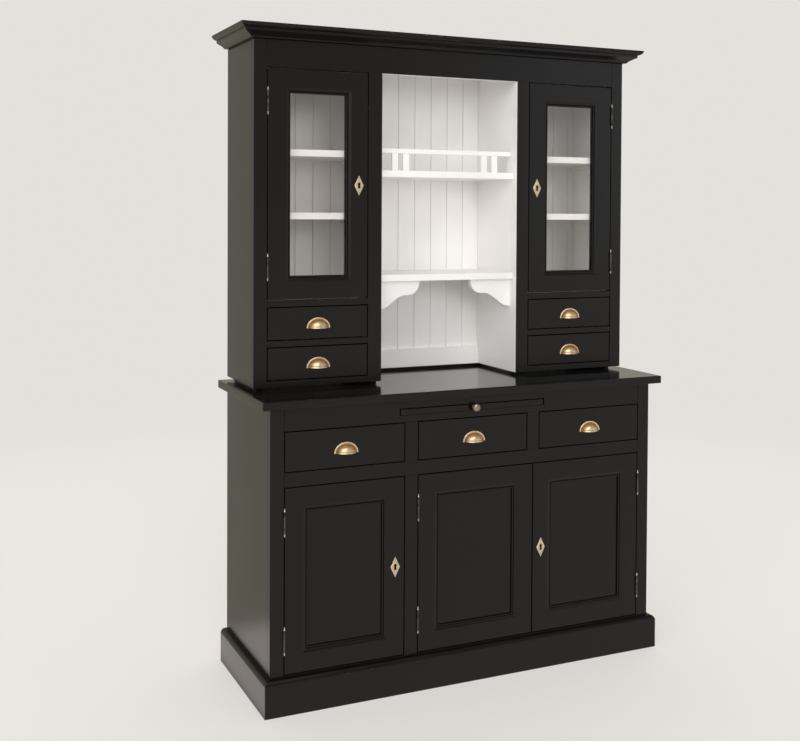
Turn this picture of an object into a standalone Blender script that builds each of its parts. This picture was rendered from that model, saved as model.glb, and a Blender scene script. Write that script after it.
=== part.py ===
"""Kitchen dresser in two parts: a base with cupboards, drawers and a pull-out board, and on it
a hutch with two glazed cupboards, four small drawers and an open niche between them.

Metres. +X to the right, -Y to the front, +Z up. The origin is on the floor, in the middle of the
whole piece, and its back lies half the worktop's depth behind it.
"""
import math

import bmesh
import bpy
from mathutils import Matrix

# Fits
GLUE_GAP = 0.0003          # hairline at every face that is glued, screwed or at rest
SWING_GAP = 0.0025         # shadow line round each door and drawer front
BOARD_PLAY = 0.0014        # room above the pull-out board in its slot

# Stock
CASE_BOARD = 0.020         # sides, partitions, floors and drawer deck
FACE_THICKNESS = 0.022     # face frames, doors and drawer fronts
SHELF_THICKNESS = 0.022
BACK_THICKNESS = 0.012
EDGE_ROUND = 0.0015        # broken arris on doors and drawer fronts

# Case of both parts
CASE_WIDTH = 1.380
STILE = 0.044              # upright bars of the base frame, and the outer ones of the hutch

# Base
BASE_DEPTH = 0.470
DOOR_SILL = 0.114          # top of the cupboard floor
BASE_DOOR_OPENING = 0.5715
BASE_RAIL = 0.044
BASE_DRAWER_OPENING = 0.1255
SLOT_RISE = 0.0215         # frame bar between the drawers and the slot of the board
SLOT_HEIGHT = 0.022
SLOT_WIDTH = 0.530
TOP_BAR = 0.0275           # frame bar between the slot and the worktop
BASE_SHELF_RISE = 0.280    # cupboard floor to the underside of its shelf
BASE_SHELF_SETBACK = 0.050

# Plinth and worktop
PLINTH_HEIGHT = 0.110
PLINTH_BOARD = 0.0215
PLINTH_ROUND = 0.013
WORKTOP_THICKNESS = 0.026
WORKTOP_FRONT_OVERHANG = 0.030
WORKTOP_SIDE_OVERHANG = 0.032
WORKTOP_ROUND = 0.003
BATTEN_WIDTH = 0.024

# Hutch
HUTCH_DEPTH = 0.297
HUTCH_FOOT = 0.010         # the hutch stands clear of the worktop on narrow feet
FOOT_WIDTH = 0.022
FOOT_SETBACK = 0.018
HUTCH_RAIL = 0.020
HUTCH_DRAWER_OPENING = 0.107
HUTCH_DOOR_OPENING = 0.734
FRIEZE = 0.088
NICHE_WIDTH = 0.508
NICHE_STILE = 0.048
CORNICE_HEIGHT = 0.042
CORNICE_REACH = 0.055

# Clear heights between the boards of the hutch
SIDE_LOWER_BAY = 0.2565
SIDE_MIDDLE_BAY = 0.180
SIDE_SHELF_SETBACK = 0.005
NICHE_LOWER_BAY = 0.335    # worktop to the shelf with the brackets
NICHE_MIDDLE_BAY = 0.3245

# Gallery rail and arch brackets of the niche
TRIM_SETBACK = 0.040       # from the face frame's front to the gallery and the brackets
GALLERY_THICKNESS = 0.014
GALLERY_CLEARANCE = 0.0575  # from the shelf to the rail's underside
GALLERY_RAIL = 0.016
BALUSTER_WIDTH = 0.022
BALUSTER_RELIEF = 0.001    # balusters are this much thinner than the rail on each face
BALUSTERS_FROM_WALL = (0.0655, 0.106)
BRACKET_THICKNESS = 0.018
BRACKET_REACH = 0.158
BRACKET_DROP = 0.095
BRACKET_LOBE_DROP = 0.048
BRACKET_LOBE_LENGTH = 0.040
BRACKET_LEVEL_RUN = 0.016
BRACKET_TOE = 0.010

# Matched boards of the backs
PLANK_WIDTH = 0.0647
PLANK_JOINT = -0.003       # one joint lies just left of the middle
GROOVE_WIDTH = 0.005
GROOVE_DEPTH = 0.003
NICHE_SKIRTING_HEIGHT = 0.065
NICHE_SKIRTING_THICKNESS = 0.014

# Framed doors
DOOR_RAIL = 0.062          # face of the frame outside its moulding
MOULDING_WIDTH = 0.013
MOULDING_DEPTH = 0.0085
GROOVE_LIP = 0.001         # wood left between the moulding and the groove of panel or pane
GROOVE_REACH = 0.009       # how far a panel or a pane runs into its groove
PANEL_THICKNESS = 0.006
GLASS_THICKNESS = 0.004

# Drawer boxes
DRAWER_WALL = 0.012
DRAWER_BOTTOM = 0.008
DRAWER_SIDE_PLAY = 0.002   # box inside its front, on each side
DRAWER_HEADROOM = 0.018
ROOM_BEHIND = 0.050        # from drawers and pull-out board to the back

# Ironmongery
BARREL_RADIUS = 0.0035
HINGE_LENGTH = 0.087
HINGE_FROM_END = 0.1035    # hinge centre to the door's top or bottom edge
FINIAL_LENGTH = 0.0085
LEAF_CLEARANCE = 0.0008    # from the leaf to the face frame
LEAF_DEPTH = 0.016
LEAF_LENGTH = 0.056
PULL_WIDTH = 0.080
PULL_HEIGHT = 0.034
PULL_DEPTH = 0.023
PULL_FLANGE = 0.008
PULL_WALL = 0.002
KNOB_RADIUS = 0.0145
KNOB_LENGTH = 0.027
PLATE_WIDTH = 0.032
PLATE_HEIGHT = 0.065
PLATE_THICKNESS = 0.0016
KEYHOLE_RADIUS = 0.0032
KEYHOLE_SLOT_HALF = 0.0022
KEYHOLE_DROP = 0.010       # from the middle of the eye to the end of the slot

# Planes and heights that follow from the sizes above
REAR_Y = (BASE_DEPTH + WORKTOP_FRONT_OVERHANG) / 2
BASE_FACE_Y = REAR_Y - BASE_DEPTH
BASE_FRAME_BACK_Y = BASE_FACE_Y + FACE_THICKNESS
HUTCH_FACE_Y = REAR_Y - HUTCH_DEPTH
HUTCH_FRAME_BACK_Y = HUTCH_FACE_Y + FACE_THICKNESS
BACK_FACE_Y = REAR_Y - BACK_THICKNESS
INNER_BACK_Y = BACK_FACE_Y - GLUE_GAP
BASE_DRAWER_LENGTH = INNER_BACK_Y - BASE_FACE_Y - ROOM_BEHIND
HUTCH_DRAWER_LENGTH = INNER_BACK_Y - HUTCH_FACE_Y - ROOM_BEHIND
INFILL_SET = MOULDING_DEPTH + GROOVE_LIP
LEAF_THICKNESS = SWING_GAP - GLUE_GAP - LEAF_CLEARANCE

HALF_CASE = CASE_WIDTH / 2
CASE_INSIDE = HALF_CASE - CASE_BOARD - GLUE_GAP
FRAME_INSIDE = HALF_CASE - STILE
BASE_OPENING = (CASE_WIDTH - 4 * STILE) / 3
POST_X = (BASE_OPENING + STILE) / 2

BASE_DOOR_TOP = DOOR_SILL + BASE_DOOR_OPENING
DRAWER_SILL = BASE_DOOR_TOP + BASE_RAIL
BASE_DRAWER_TOP = DRAWER_SILL + BASE_DRAWER_OPENING
SLOT_BOTTOM = BASE_DRAWER_TOP + SLOT_RISE
SLOT_TOP = SLOT_BOTTOM + SLOT_HEIGHT
BASE_TOP = SLOT_TOP + TOP_BAR
WORKTOP_TOP = BASE_TOP + WORKTOP_THICKNESS
BASE_SHELF_HEIGHT = DOOR_SILL + BASE_SHELF_RISE

HUTCH_BOTTOM = WORKTOP_TOP + HUTCH_FOOT
LOWER_DRAWER_SILL = HUTCH_BOTTOM + HUTCH_RAIL
UPPER_DRAWER_SILL = LOWER_DRAWER_SILL + HUTCH_DRAWER_OPENING + HUTCH_RAIL
HUTCH_DOOR_SILL = UPPER_DRAWER_SILL + HUTCH_DRAWER_OPENING + HUTCH_RAIL
HUTCH_DOOR_TOP = HUTCH_DOOR_SILL + HUTCH_DOOR_OPENING
HUTCH_TOP = HUTCH_DOOR_TOP + FRIEZE
LOWER_SIDE_SHELF = HUTCH_DOOR_SILL + SIDE_LOWER_BAY
UPPER_SIDE_SHELF = LOWER_SIDE_SHELF + SHELF_THICKNESS + SIDE_MIDDLE_BAY
LOWER_NICHE_SHELF = WORKTOP_TOP + NICHE_LOWER_BAY
UPPER_NICHE_SHELF = LOWER_NICHE_SHELF + SHELF_THICKNESS + NICHE_MIDDLE_BAY
NICHE_HALF = NICHE_WIDTH / 2
HUTCH_OPENING_INSIDE = NICHE_HALF + NICHE_STILE

# Every cut runs this far past the face that it opens
OVERRUN = 0.004

# Stands a flat drawing up: its Y becomes Z
UPRIGHT = Matrix(((1.0, 0.0, 0.0), (0.0, 0.0, -1.0), (0.0, 1.0, 0.0)))

PAINT_BLACK = ("black_lacquer", (0.021, 0.020, 0.019), 0.42, 0.0)
PAINT_WHITE = ("white_lacquer", (0.83, 0.82, 0.79), 0.45, 0.0)
PINE = ("drawer_pine", (0.62, 0.47, 0.30), 0.55, 0.0)
BRASS = ("aged_brass", (0.66, 0.45, 0.20), 0.30, 1.0)
STEEL = ("dark_steel", (0.22, 0.22, 0.22), 0.38, 1.0)
GLASS = ("clear_glass", (0.90, 0.95, 0.93), 0.05, 0.0)


def clear_scene():
    for item in list(bpy.data.objects):
        bpy.data.objects.remove(item)


def new_collection(name):
    collection = bpy.data.collections.new(name)
    bpy.context.scene.collection.children.link(collection)
    return collection


def finish(look):
    """The Principled material of one finish, made once and shared after that."""
    name, colour, roughness, metallic = look
    material = bpy.data.materials.get(name)
    if material is None:
        material = bpy.data.materials.new(name)
        material.use_nodes = True
        shader = material.node_tree.nodes["Principled BSDF"]
        shader.inputs["Base Color"].default_value = (*colour, 1.0)
        shader.inputs["Roughness"].default_value = roughness
        shader.inputs["Metallic"].default_value = metallic
    return material


def add_object(name, mesh, location, look=None):
    """A piece with a finish goes in the dresser's collection, a cutter in the other one."""
    item = bpy.data.objects.new(name, mesh)
    item.location = location
    if look is None:
        CUTTERS.objects.link(item)
        item.hide_render = True
        item.display_type = "WIRE"
    else:
        PIECES.objects.link(item)
        item.data.materials.append(finish(look))
    return item


def board(name, low, high, look=None, rounding=0.0):
    """A square-edged board between two corners, with its arrises broken if asked."""
    size = [b - a for a, b in zip(low, high)]
    shape = bmesh.new()
    bmesh.ops.create_cube(shape, size=1.0)
    bmesh.ops.scale(shape, vec=size, verts=shape.verts)
    mesh = bpy.data.meshes.new(name)
    shape.to_mesh(mesh)
    shape.free()
    item = add_object(name, mesh, [(a + b) / 2 for a, b in zip(low, high)], look)
    if rounding > 0.0:
        arris = item.modifiers.new("arris", "BEVEL")
        arris.width = rounding
        arris.segments = 1
    return item


def stack_of_rings(name, rings, look=None):
    """A solid whose level sections are rectangles, joined one above the other.

    Each ring is (low x, high x, low y, high y, z), from the lowest to the highest.
    """
    shape = bmesh.new()
    levels = []
    for x_low, x_high, y_low, y_high, z in rings:
        corners = ((x_low, y_low), (x_high, y_low), (x_high, y_high), (x_low, y_high))
        levels.append([shape.verts.new((x, y, z)) for x, y in corners])
    shape.faces.new(list(reversed(levels[0])))
    shape.faces.new(levels[-1])
    for lower, upper in zip(levels, levels[1:]):
        for side in range(4):
            after = (side + 1) % 4
            shape.faces.new((lower[side], lower[after], upper[after], upper[side]))
    mesh = bpy.data.meshes.new(name)
    shape.to_mesh(mesh)
    shape.free()
    return add_object(name, mesh, (0.0, 0.0, 0.0), look)


def flat_shape(name, outline, front_y, back_y, location, look=None):
    """A flat outline in X and Z, cut from a sheet that reaches from front_y to back_y."""
    curve = bpy.data.curves.new(name, "CURVE")
    curve.dimensions = "2D"
    curve.fill_mode = "BOTH"
    curve.extrude = (back_y - front_y) / 2
    spline = curve.splines.new("POLY")
    spline.points.add(len(outline) - 1)
    for point, (x, z) in zip(spline.points, outline):
        point.co = (x, z, 0.0, 1.0)
    spline.use_cyclic_u = True
    holder = bpy.data.objects.new(name + "_outline", curve)
    CUTTERS.objects.link(holder)
    bpy.context.view_layer.update()
    drawn = holder.evaluated_get(bpy.context.evaluated_depsgraph_get())
    mesh = bpy.data.meshes.new_from_object(drawn)
    bpy.data.objects.remove(holder)
    shape = bmesh.new()
    shape.from_mesh(mesh)
    bmesh.ops.remove_doubles(shape, verts=shape.verts, dist=0.00001)
    bmesh.ops.rotate(shape, verts=shape.verts, matrix=UPRIGHT)
    bmesh.ops.recalc_face_normals(shape, faces=shape.faces)
    shape.to_mesh(mesh)
    shape.free()
    mesh.name = name
    x, z = location
    return add_object(name, mesh, (x, (front_y + back_y) / 2, z), look)


def join_or_cut(target, tool, operation):
    """Boolean by a helper piece, which then moves with its target."""
    change = target.modifiers.new(tool.name, "BOOLEAN")
    change.operation = operation
    change.solver = "EXACT"
    change.object = tool
    tool.parent = target
    tool.location -= target.location


def cut(target, tool):
    join_or_cut(target, tool, "DIFFERENCE")


def join(target, tool):
    join_or_cut(target, tool, "UNION")


def turned(name, profile, steps, location, look):
    """A turned piece: (radius, height) points from its top down to its bottom, about Z."""
    mesh = bpy.data.meshes.new(name)
    points = [(radius, 0.0, height) for radius, height in profile]
    mesh.from_pydata(points, [(i, i + 1) for i in range(len(points) - 1)], [])
    item = add_object(name, mesh, location, look)
    lathe = item.modifiers.new("lathe", "SCREW")
    lathe.steps = steps
    lathe.render_steps = steps
    lathe.use_merge_vertices = True
    lathe.merge_threshold = 0.00005
    lathe.use_smooth_shade = True
    return item


def hang_on(empty, items):
    """Parents pieces to the empty that stands on their joint, without moving them."""
    for item in items:
        item.parent = empty
        item.location -= empty.location


def joint_empty(name, location):
    empty = bpy.data.objects.new(name, None)
    empty.location = location
    empty.empty_display_size = 0.05
    PIECES.objects.link(empty)
    return empty


# Cornice and plinth: level rings that step out in front and at both ends, flush at the back

def case_ring(reach, face_y, z):
    return (-HALF_CASE - reach, HALF_CASE + reach, face_y - reach, REAR_Y, z)


def make_cornice():
    """Flat soffit, hollow and swelling curve, fillet, step and a rounded top edge."""
    profile = (
        (0.21, 0.00), (0.26, 0.09), (0.36, 0.19), (0.50, 0.29), (0.66, 0.40),
        (0.70, 0.46), (0.70, 0.63), (0.79, 0.64), (0.86, 0.70), (0.93, 0.79), (0.98, 0.90), (1.00, 1.00),
    )
    rings = [
        case_ring(share * CORNICE_REACH, HUTCH_FACE_Y, HUTCH_TOP + rise * CORNICE_HEIGHT)
        for share, rise in profile
    ]
    return stack_of_rings("cornice", rings, PAINT_BLACK)


def make_plinth():
    """Front and end boards with a rounded upper arris, open at the back."""
    rings = [case_ring(PLINTH_BOARD, BASE_FACE_Y, 0.0)]
    for step in range(4):
        angle = math.pi / 2 * step / 3
        drawn_in = PLINTH_ROUND * (1 - math.cos(angle))
        z = PLINTH_HEIGHT - PLINTH_ROUND + PLINTH_ROUND * math.sin(angle)
        rings.append(case_ring(PLINTH_BOARD - drawn_in, BASE_FACE_Y, z))
    plinth = stack_of_rings("plinth", rings, PAINT_BLACK)
    room = board(
        "plinth_room",
        (-HALF_CASE - GLUE_GAP, BASE_FACE_Y - GLUE_GAP, -OVERRUN),
        (HALF_CASE + GLUE_GAP, REAR_Y + OVERRUN, PLINTH_HEIGHT + OVERRUN),
    )
    cut(plinth, room)
    return plinth


# Case boards

def make_sides(prefix, frame_back_y, bottom, top):
    for side, word in ((-1, "left"), (1, "right")):
        x_low, x_high = sorted((side * (HALF_CASE - CASE_BOARD), side * HALF_CASE))
        board(
            prefix + "_side_" + word,
            (x_low, frame_back_y + GLUE_GAP, bottom),
            (x_high, REAR_Y, top - GLUE_GAP),
            PAINT_BLACK,
        )


def make_back(name, bottom, top, look):
    """Matched boards: a sheet whose front face has a V-shaped groove at each joint."""
    first = math.ceil((-CASE_INSIDE + GROOVE_WIDTH - PLANK_JOINT) / PLANK_WIDTH)
    last = math.floor((CASE_INSIDE - GROOVE_WIDTH - PLANK_JOINT) / PLANK_WIDTH)
    front = [(-CASE_INSIDE, BACK_FACE_Y)]
    for number in range(first, last + 1):
        x = PLANK_JOINT + number * PLANK_WIDTH
        front.append((x - GROOVE_WIDTH / 2, BACK_FACE_Y))
        front.append((x, BACK_FACE_Y + GROOVE_DEPTH))
        front.append((x + GROOVE_WIDTH / 2, BACK_FACE_Y))
    front.append((CASE_INSIDE, BACK_FACE_Y))
    outline = front + [(CASE_INSIDE, REAR_Y), (-CASE_INSIDE, REAR_Y)]
    shape = bmesh.new()
    floor_face = shape.faces.new([shape.verts.new((x, y, bottom)) for x, y in outline])
    raised = bmesh.ops.extrude_face_region(shape, geom=[floor_face])
    top_corners = [item for item in raised["geom"] if isinstance(item, bmesh.types.BMVert)]
    bmesh.ops.translate(shape, vec=(0.0, 0.0, top - GLUE_GAP - bottom), verts=top_corners)
    bmesh.ops.recalc_face_normals(shape, faces=shape.faces)
    mesh = bpy.data.meshes.new(name)
    shape.to_mesh(mesh)
    shape.free()
    return add_object(name, mesh, (0.0, 0.0, 0.0), look)


def make_base_case():
    front_y = BASE_FRAME_BACK_Y + GLUE_GAP
    make_sides("base", BASE_FRAME_BACK_Y, 0.0, BASE_TOP)
    board(
        "base_floor",
        (-CASE_INSIDE, front_y, DOOR_SILL - CASE_BOARD),
        (CASE_INSIDE, INNER_BACK_Y, DOOR_SILL),
        PAINT_WHITE,
    )
    make_back("base_back", DOOR_SILL - CASE_BOARD, BASE_TOP, PAINT_WHITE)
    deck_bottom = DRAWER_SILL - CASE_BOARD
    board(
        "base_partition",
        (-POST_X - CASE_BOARD / 2, front_y, DOOR_SILL + GLUE_GAP),
        (-POST_X + CASE_BOARD / 2, INNER_BACK_Y, deck_bottom - GLUE_GAP),
        PAINT_WHITE,
    )
    bays = (
        ("left", -CASE_INSIDE, -POST_X - CASE_BOARD / 2 - GLUE_GAP),
        ("right", -POST_X + CASE_BOARD / 2 + GLUE_GAP, CASE_INSIDE),
    )
    for word, x_low, x_high in bays:
        board(
            "base_shelf_" + word,
            (x_low, BASE_FRAME_BACK_Y + BASE_SHELF_SETBACK, BASE_SHELF_HEIGHT),
            (x_high, INNER_BACK_Y, BASE_SHELF_HEIGHT + SHELF_THICKNESS),
            PAINT_WHITE,
        )
    deck = board(
        "drawer_deck",
        (-CASE_INSIDE, front_y, deck_bottom),
        (CASE_INSIDE, INNER_BACK_Y, DRAWER_SILL),
        PINE,
    )
    for side, word in ((-1, "left"), (1, "right")):
        divider = board(
            "drawer_divider_" + word,
            (side * POST_X - CASE_BOARD / 2, front_y, DRAWER_SILL - CASE_BOARD / 2),
            (side * POST_X + CASE_BOARD / 2, INNER_BACK_Y, SLOT_BOTTOM),
        )
        join(deck, divider)


def make_worktop():
    half_width = HALF_CASE + WORKTOP_SIDE_OVERHANG
    top = board(
        "worktop",
        (-half_width, -REAR_Y, BASE_TOP),
        (half_width, REAR_Y, WORKTOP_TOP),
        PAINT_BLACK,
        WORKTOP_ROUND,
    )
    top.modifiers["arris"].segments = 2
    for side, word in ((-1, "left"), (1, "right")):
        batten = board(
            "worktop_batten_" + word,
            (side * POST_X - BATTEN_WIDTH / 2, BASE_FRAME_BACK_Y + GLUE_GAP, SLOT_TOP),
            (side * POST_X + BATTEN_WIDTH / 2, INNER_BACK_Y, BASE_TOP + WORKTOP_THICKNESS / 2),
        )
        join(top, batten)


def opening(frame, name, x_low, x_high, z_low, z_high, face_y):
    tool = board(
        frame.name + "_" + name,
        (x_low, face_y - OVERRUN, z_low),
        (x_high, face_y + FACE_THICKNESS + OVERRUN, z_high),
    )
    cut(frame, tool)


def make_base_frame():
    frame = board(
        "base_face_frame",
        (-HALF_CASE, BASE_FACE_Y, 0.0),
        (HALF_CASE, BASE_FRAME_BACK_Y, BASE_TOP - GLUE_GAP),
        PAINT_BLACK,
    )
    post_left = -POST_X - STILE / 2
    post_right = -POST_X + STILE / 2
    opening(frame, "door_left", -FRAME_INSIDE, post_left, DOOR_SILL, BASE_DOOR_TOP, BASE_FACE_Y)
    opening(frame, "door_pair", post_right, FRAME_INSIDE, DOOR_SILL, BASE_DOOR_TOP, BASE_FACE_Y)
    for word, x_middle in base_drawer_places():
        opening(
            frame, "drawer_" + word,
            x_middle - BASE_OPENING / 2, x_middle + BASE_OPENING / 2,
            DRAWER_SILL, BASE_DRAWER_TOP, BASE_FACE_Y,
        )
    opening(frame, "slot", -SLOT_WIDTH / 2, SLOT_WIDTH / 2, SLOT_BOTTOM, SLOT_TOP, BASE_FACE_Y)


def base_drawer_places():
    return (("left", -2 * POST_X), ("middle", 0.0), ("right", 2 * POST_X))


# Drawers, pulls, pull-out board and knob

def make_drawer(name, x_low, x_high, z_low, z_high, face_y, length):
    """Front, two sides, back and bottom glued into one box that is open above."""
    drawer = board(
        name,
        (x_low + SWING_GAP, face_y, z_low + SWING_GAP),
        (x_high - SWING_GAP, face_y + FACE_THICKNESS, z_high - SWING_GAP),
        PAINT_BLACK,
        EDGE_ROUND,
    )
    left = x_low + SWING_GAP + DRAWER_SIDE_PLAY
    right = x_high - SWING_GAP - DRAWER_SIDE_PLAY
    bottom = z_low + GLUE_GAP
    rim = z_high - DRAWER_HEADROOM
    end_y = face_y + length
    box = board(
        name + "_box",
        (left, face_y + FACE_THICKNESS / 2, bottom),
        (right, end_y, rim),
    )
    room = board(
        name + "_room",
        (left + DRAWER_WALL, face_y + FACE_THICKNESS, bottom + DRAWER_BOTTOM),
        (right - DRAWER_WALL, end_y - DRAWER_WALL, rim + OVERRUN),
    )
    join(drawer, box)
    cut(drawer, room)
    return drawer


def oval(half_width, half_height, steps):
    turns = [2 * math.pi * step / steps for step in range(steps)]
    return [(half_width * math.cos(turn), half_height * math.sin(turn)) for turn in turns]


def oval_ball(name, half_width, depth, height, location, look=None):
    shape = bmesh.new()
    bmesh.ops.create_uvsphere(shape, u_segments=20, v_segments=12, radius=1.0)
    bmesh.ops.scale(shape, vec=(half_width, depth, height), verts=shape.verts)
    mesh = bpy.data.meshes.new(name)
    shape.to_mesh(mesh)
    shape.free()
    return add_object(name, mesh, location, look)


def make_cup_pull(name, x, face_y, z_middle):
    """A quarter shell on a flat flange, open below for the fingers.

    Whole ball and whole flange are joined and hollowed, then all but the upper front quarter goes.
    """
    bottom = z_middle - PULL_HEIGHT / 2
    seat_y = face_y - GLUE_GAP
    half_width = PULL_WIDTH / 2
    shell_half = half_width - PULL_FLANGE
    shell_height = PULL_HEIGHT - PULL_FLANGE
    centre = (x, seat_y, bottom)
    pull = oval_ball(name, shell_half, PULL_DEPTH, shell_height, centre, BRASS)
    flange = flat_shape(
        name + "_flange",
        oval(half_width, PULL_HEIGHT, 40),
        seat_y - PULL_WALL, seat_y + OVERRUN, (x, bottom),
    )
    join(pull, flange)
    hollow = oval_ball(
        name + "_hollow",
        shell_half - PULL_WALL, PULL_DEPTH - PULL_WALL, shell_height - PULL_WALL,
        centre,
    )
    cut(pull, hollow)
    keep = board(
        name + "_quarter",
        (x - PULL_WIDTH, seat_y - 2 * PULL_DEPTH, bottom),
        (x + PULL_WIDTH, seat_y, bottom + 2 * PULL_HEIGHT),
    )
    join_or_cut(pull, keep, "INTERSECT")
    return pull


def make_knob(name, x, face_y, z):
    """Turned mushroom knob on a short neck, lying along Y."""
    profile = (
        (0.0, 1.00), (0.35, 0.985), (0.66, 0.93), (0.88, 0.82), (1.00, 0.66), (0.96, 0.52),
        (0.78, 0.42), (0.52, 0.34), (0.42, 0.24), (0.45, 0.12), (0.60, 0.04), (0.60, 0.0), (0.0, 0.0),
    )
    points = [(radius * KNOB_RADIUS, height * KNOB_LENGTH) for radius, height in profile]
    knob = turned(name, points, 20, (x, face_y - GLUE_GAP, z), BRASS)
    knob.rotation_euler = (math.pi / 2, 0.0, 0.0)
    return knob


def make_base_drawers():
    for word, x_middle in base_drawer_places():
        name = "base_drawer_" + word
        slide = joint_empty(name + "_slide", (x_middle, BASE_FACE_Y, DRAWER_SILL))
        drawer = make_drawer(
            name,
            x_middle - BASE_OPENING / 2, x_middle + BASE_OPENING / 2,
            DRAWER_SILL, BASE_DRAWER_TOP, BASE_FACE_Y, BASE_DRAWER_LENGTH,
        )
        middle = DRAWER_SILL + BASE_DRAWER_OPENING / 2
        pull = make_cup_pull("base_pull_" + word, x_middle, BASE_FACE_Y, middle)
        hang_on(slide, (drawer, pull))


def make_hutch_drawers():
    levels = (("lower", LOWER_DRAWER_SILL), ("upper", UPPER_DRAWER_SILL))
    for side, word in ((-1, "left"), (1, "right")):
        x_low, x_high = sorted((side * HUTCH_OPENING_INSIDE, side * FRAME_INSIDE))
        x_middle = (x_low + x_high) / 2
        for level, sill in levels:
            name = "hutch_drawer_" + word + "_" + level
            slide = joint_empty(name + "_slide", (x_middle, HUTCH_FACE_Y, sill))
            drawer = make_drawer(
                name, x_low, x_high, sill, sill + HUTCH_DRAWER_OPENING,
                HUTCH_FACE_Y, HUTCH_DRAWER_LENGTH,
            )
            pull = make_cup_pull(
                "hutch_pull_" + word + "_" + level,
                x_middle, HUTCH_FACE_Y, sill + HUTCH_DRAWER_OPENING / 2,
            )
            hang_on(slide, (drawer, pull))


def make_pull_out_board():
    slide = joint_empty("pull_board_slide", (0.0, BASE_FACE_Y, SLOT_BOTTOM))
    half_width = SLOT_WIDTH / 2 - SWING_GAP / 2
    shelf = board(
        "pull_board",
        (-half_width, BASE_FACE_Y, SLOT_BOTTOM + GLUE_GAP),
        (half_width, BASE_FACE_Y + BASE_DRAWER_LENGTH, SLOT_TOP - BOARD_PLAY),
        PAINT_BLACK,
    )
    knob = make_knob("pull_board_knob", 0.0, BASE_FACE_Y, (SLOT_BOTTOM + SLOT_TOP) / 2)
    hang_on(slide, (shelf, knob))


# Doors

def moulded_opening(frame, x_low, x_high, z_low, z_high, face_y):
    """The way through a door frame, wider towards the front by its sloping moulding."""
    through = board(
        frame.name + "_sight",
        (x_low, face_y - OVERRUN, z_low),
        (x_high, face_y + FACE_THICKNESS + OVERRUN, z_high),
    )
    cut(frame, through)
    slope = MOULDING_WIDTH / MOULDING_DEPTH
    front_flare = MOULDING_WIDTH + slope * OVERRUN
    x_middle = (x_low + x_high) / 2
    z_middle = (z_low + z_high) / 2
    half_x = (x_high - x_low) / 2
    half_z = (z_high - z_low) / 2
    ring_deep = (-half_x, half_x, -half_z, half_z, -MOULDING_DEPTH)
    wide_x = half_x + front_flare
    wide_z = half_z + front_flare
    ring_front = (-wide_x, wide_x, -wide_z, wide_z, OVERRUN)
    flare = stack_of_rings(frame.name + "_moulding", (ring_deep, ring_front))
    flare.rotation_euler = (math.pi / 2, 0.0, 0.0)
    flare.location = (x_middle, face_y, z_middle)
    cut(frame, flare)


def make_door(name, x_low, x_high, z_low, z_high, face_y, infill_name, infill_thickness, infill_look):
    """A frame with a moulded inner edge, grooved round a panel or a pane."""
    frame = board(
        name + "_frame",
        (x_low, face_y, z_low), (x_high, face_y + FACE_THICKNESS, z_high),
        PAINT_BLACK, EDGE_ROUND,
    )
    margin = DOOR_RAIL + MOULDING_WIDTH
    sight = (x_low + margin, x_high - margin, z_low + margin, z_high - margin)
    moulded_opening(frame, *sight, face_y)
    hold = GROOVE_REACH
    front = face_y + INFILL_SET
    back = front + infill_thickness
    groove = board(
        frame.name + "_groove",
        (sight[0] - hold - GLUE_GAP, front - GLUE_GAP, sight[2] - hold - GLUE_GAP),
        (sight[1] + hold + GLUE_GAP, back + GLUE_GAP, sight[3] + hold + GLUE_GAP),
    )
    cut(frame, groove)
    infill = board(
        name + "_" + infill_name,
        (sight[0] - hold, front, sight[2] - hold),
        (sight[1] + hold, back, sight[3] + hold),
        infill_look,
    )
    return frame, infill


def make_hinge(name, x, face_y, z, side):
    """Barrel with ball finials; its leaf lies in the gap against the door's edge.

    side is +1 where the door lies at +X of the barrel.
    """
    half = HINGE_LENGTH / 2
    finial = ((0.0, 0.0), (0.47, 0.10), (0.78, 0.35), (0.50, 0.73), (1.0, 1.0))
    upper = [(share * BARREL_RADIUS, half - drop * FINIAL_LENGTH) for share, drop in finial]
    lower = [(radius, -height) for radius, height in reversed(upper)]
    barrel_y = face_y - BARREL_RADIUS
    hinge = turned(name, upper + lower, 12, (x, barrel_y, z), STEEL)
    near = LEAF_CLEARANCE - SWING_GAP / 2
    x_low, x_high = sorted((x + side * near, x + side * (near + LEAF_THICKNESS)))
    leaf = board(
        name + "_leaf",
        (x_low, barrel_y, z - LEAF_LENGTH / 2),
        (x_high, face_y + LEAF_DEPTH, z + LEAF_LENGTH / 2),
    )
    join(hinge, leaf)
    return hinge


def make_key_plate(name, x, face_y, z):
    """Brass lozenge with a keyhole: a round eye over a slot."""
    half_width = PLATE_WIDTH / 2
    half_height = PLATE_HEIGHT / 2
    back_y = face_y - GLUE_GAP
    front_y = back_y - PLATE_THICKNESS
    lozenge = ((half_width, 0.0), (0.0, half_height), (-half_width, 0.0), (0.0, -half_height))
    plate = flat_shape(name, lozenge, front_y, back_y, (x, z), BRASS)
    keyhole = [(-KEYHOLE_SLOT_HALF, -KEYHOLE_DROP), (KEYHOLE_SLOT_HALF, -KEYHOLE_DROP)]
    start = -math.acos(KEYHOLE_SLOT_HALF / KEYHOLE_RADIUS)
    for step in range(9):
        angle = start + (math.pi - 2 * start) * step / 8
        keyhole.append((KEYHOLE_RADIUS * math.cos(angle), KEYHOLE_RADIUS * math.sin(angle)))
    eye_z = z + KEYHOLE_DROP / 2 - KEYHOLE_RADIUS / 2
    tool = flat_shape(
        name + "_keyhole", keyhole,
        front_y - OVERRUN, face_y + OVERRUN, (x, eye_z),
    )
    cut(plate, tool)
    return plate


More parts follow.
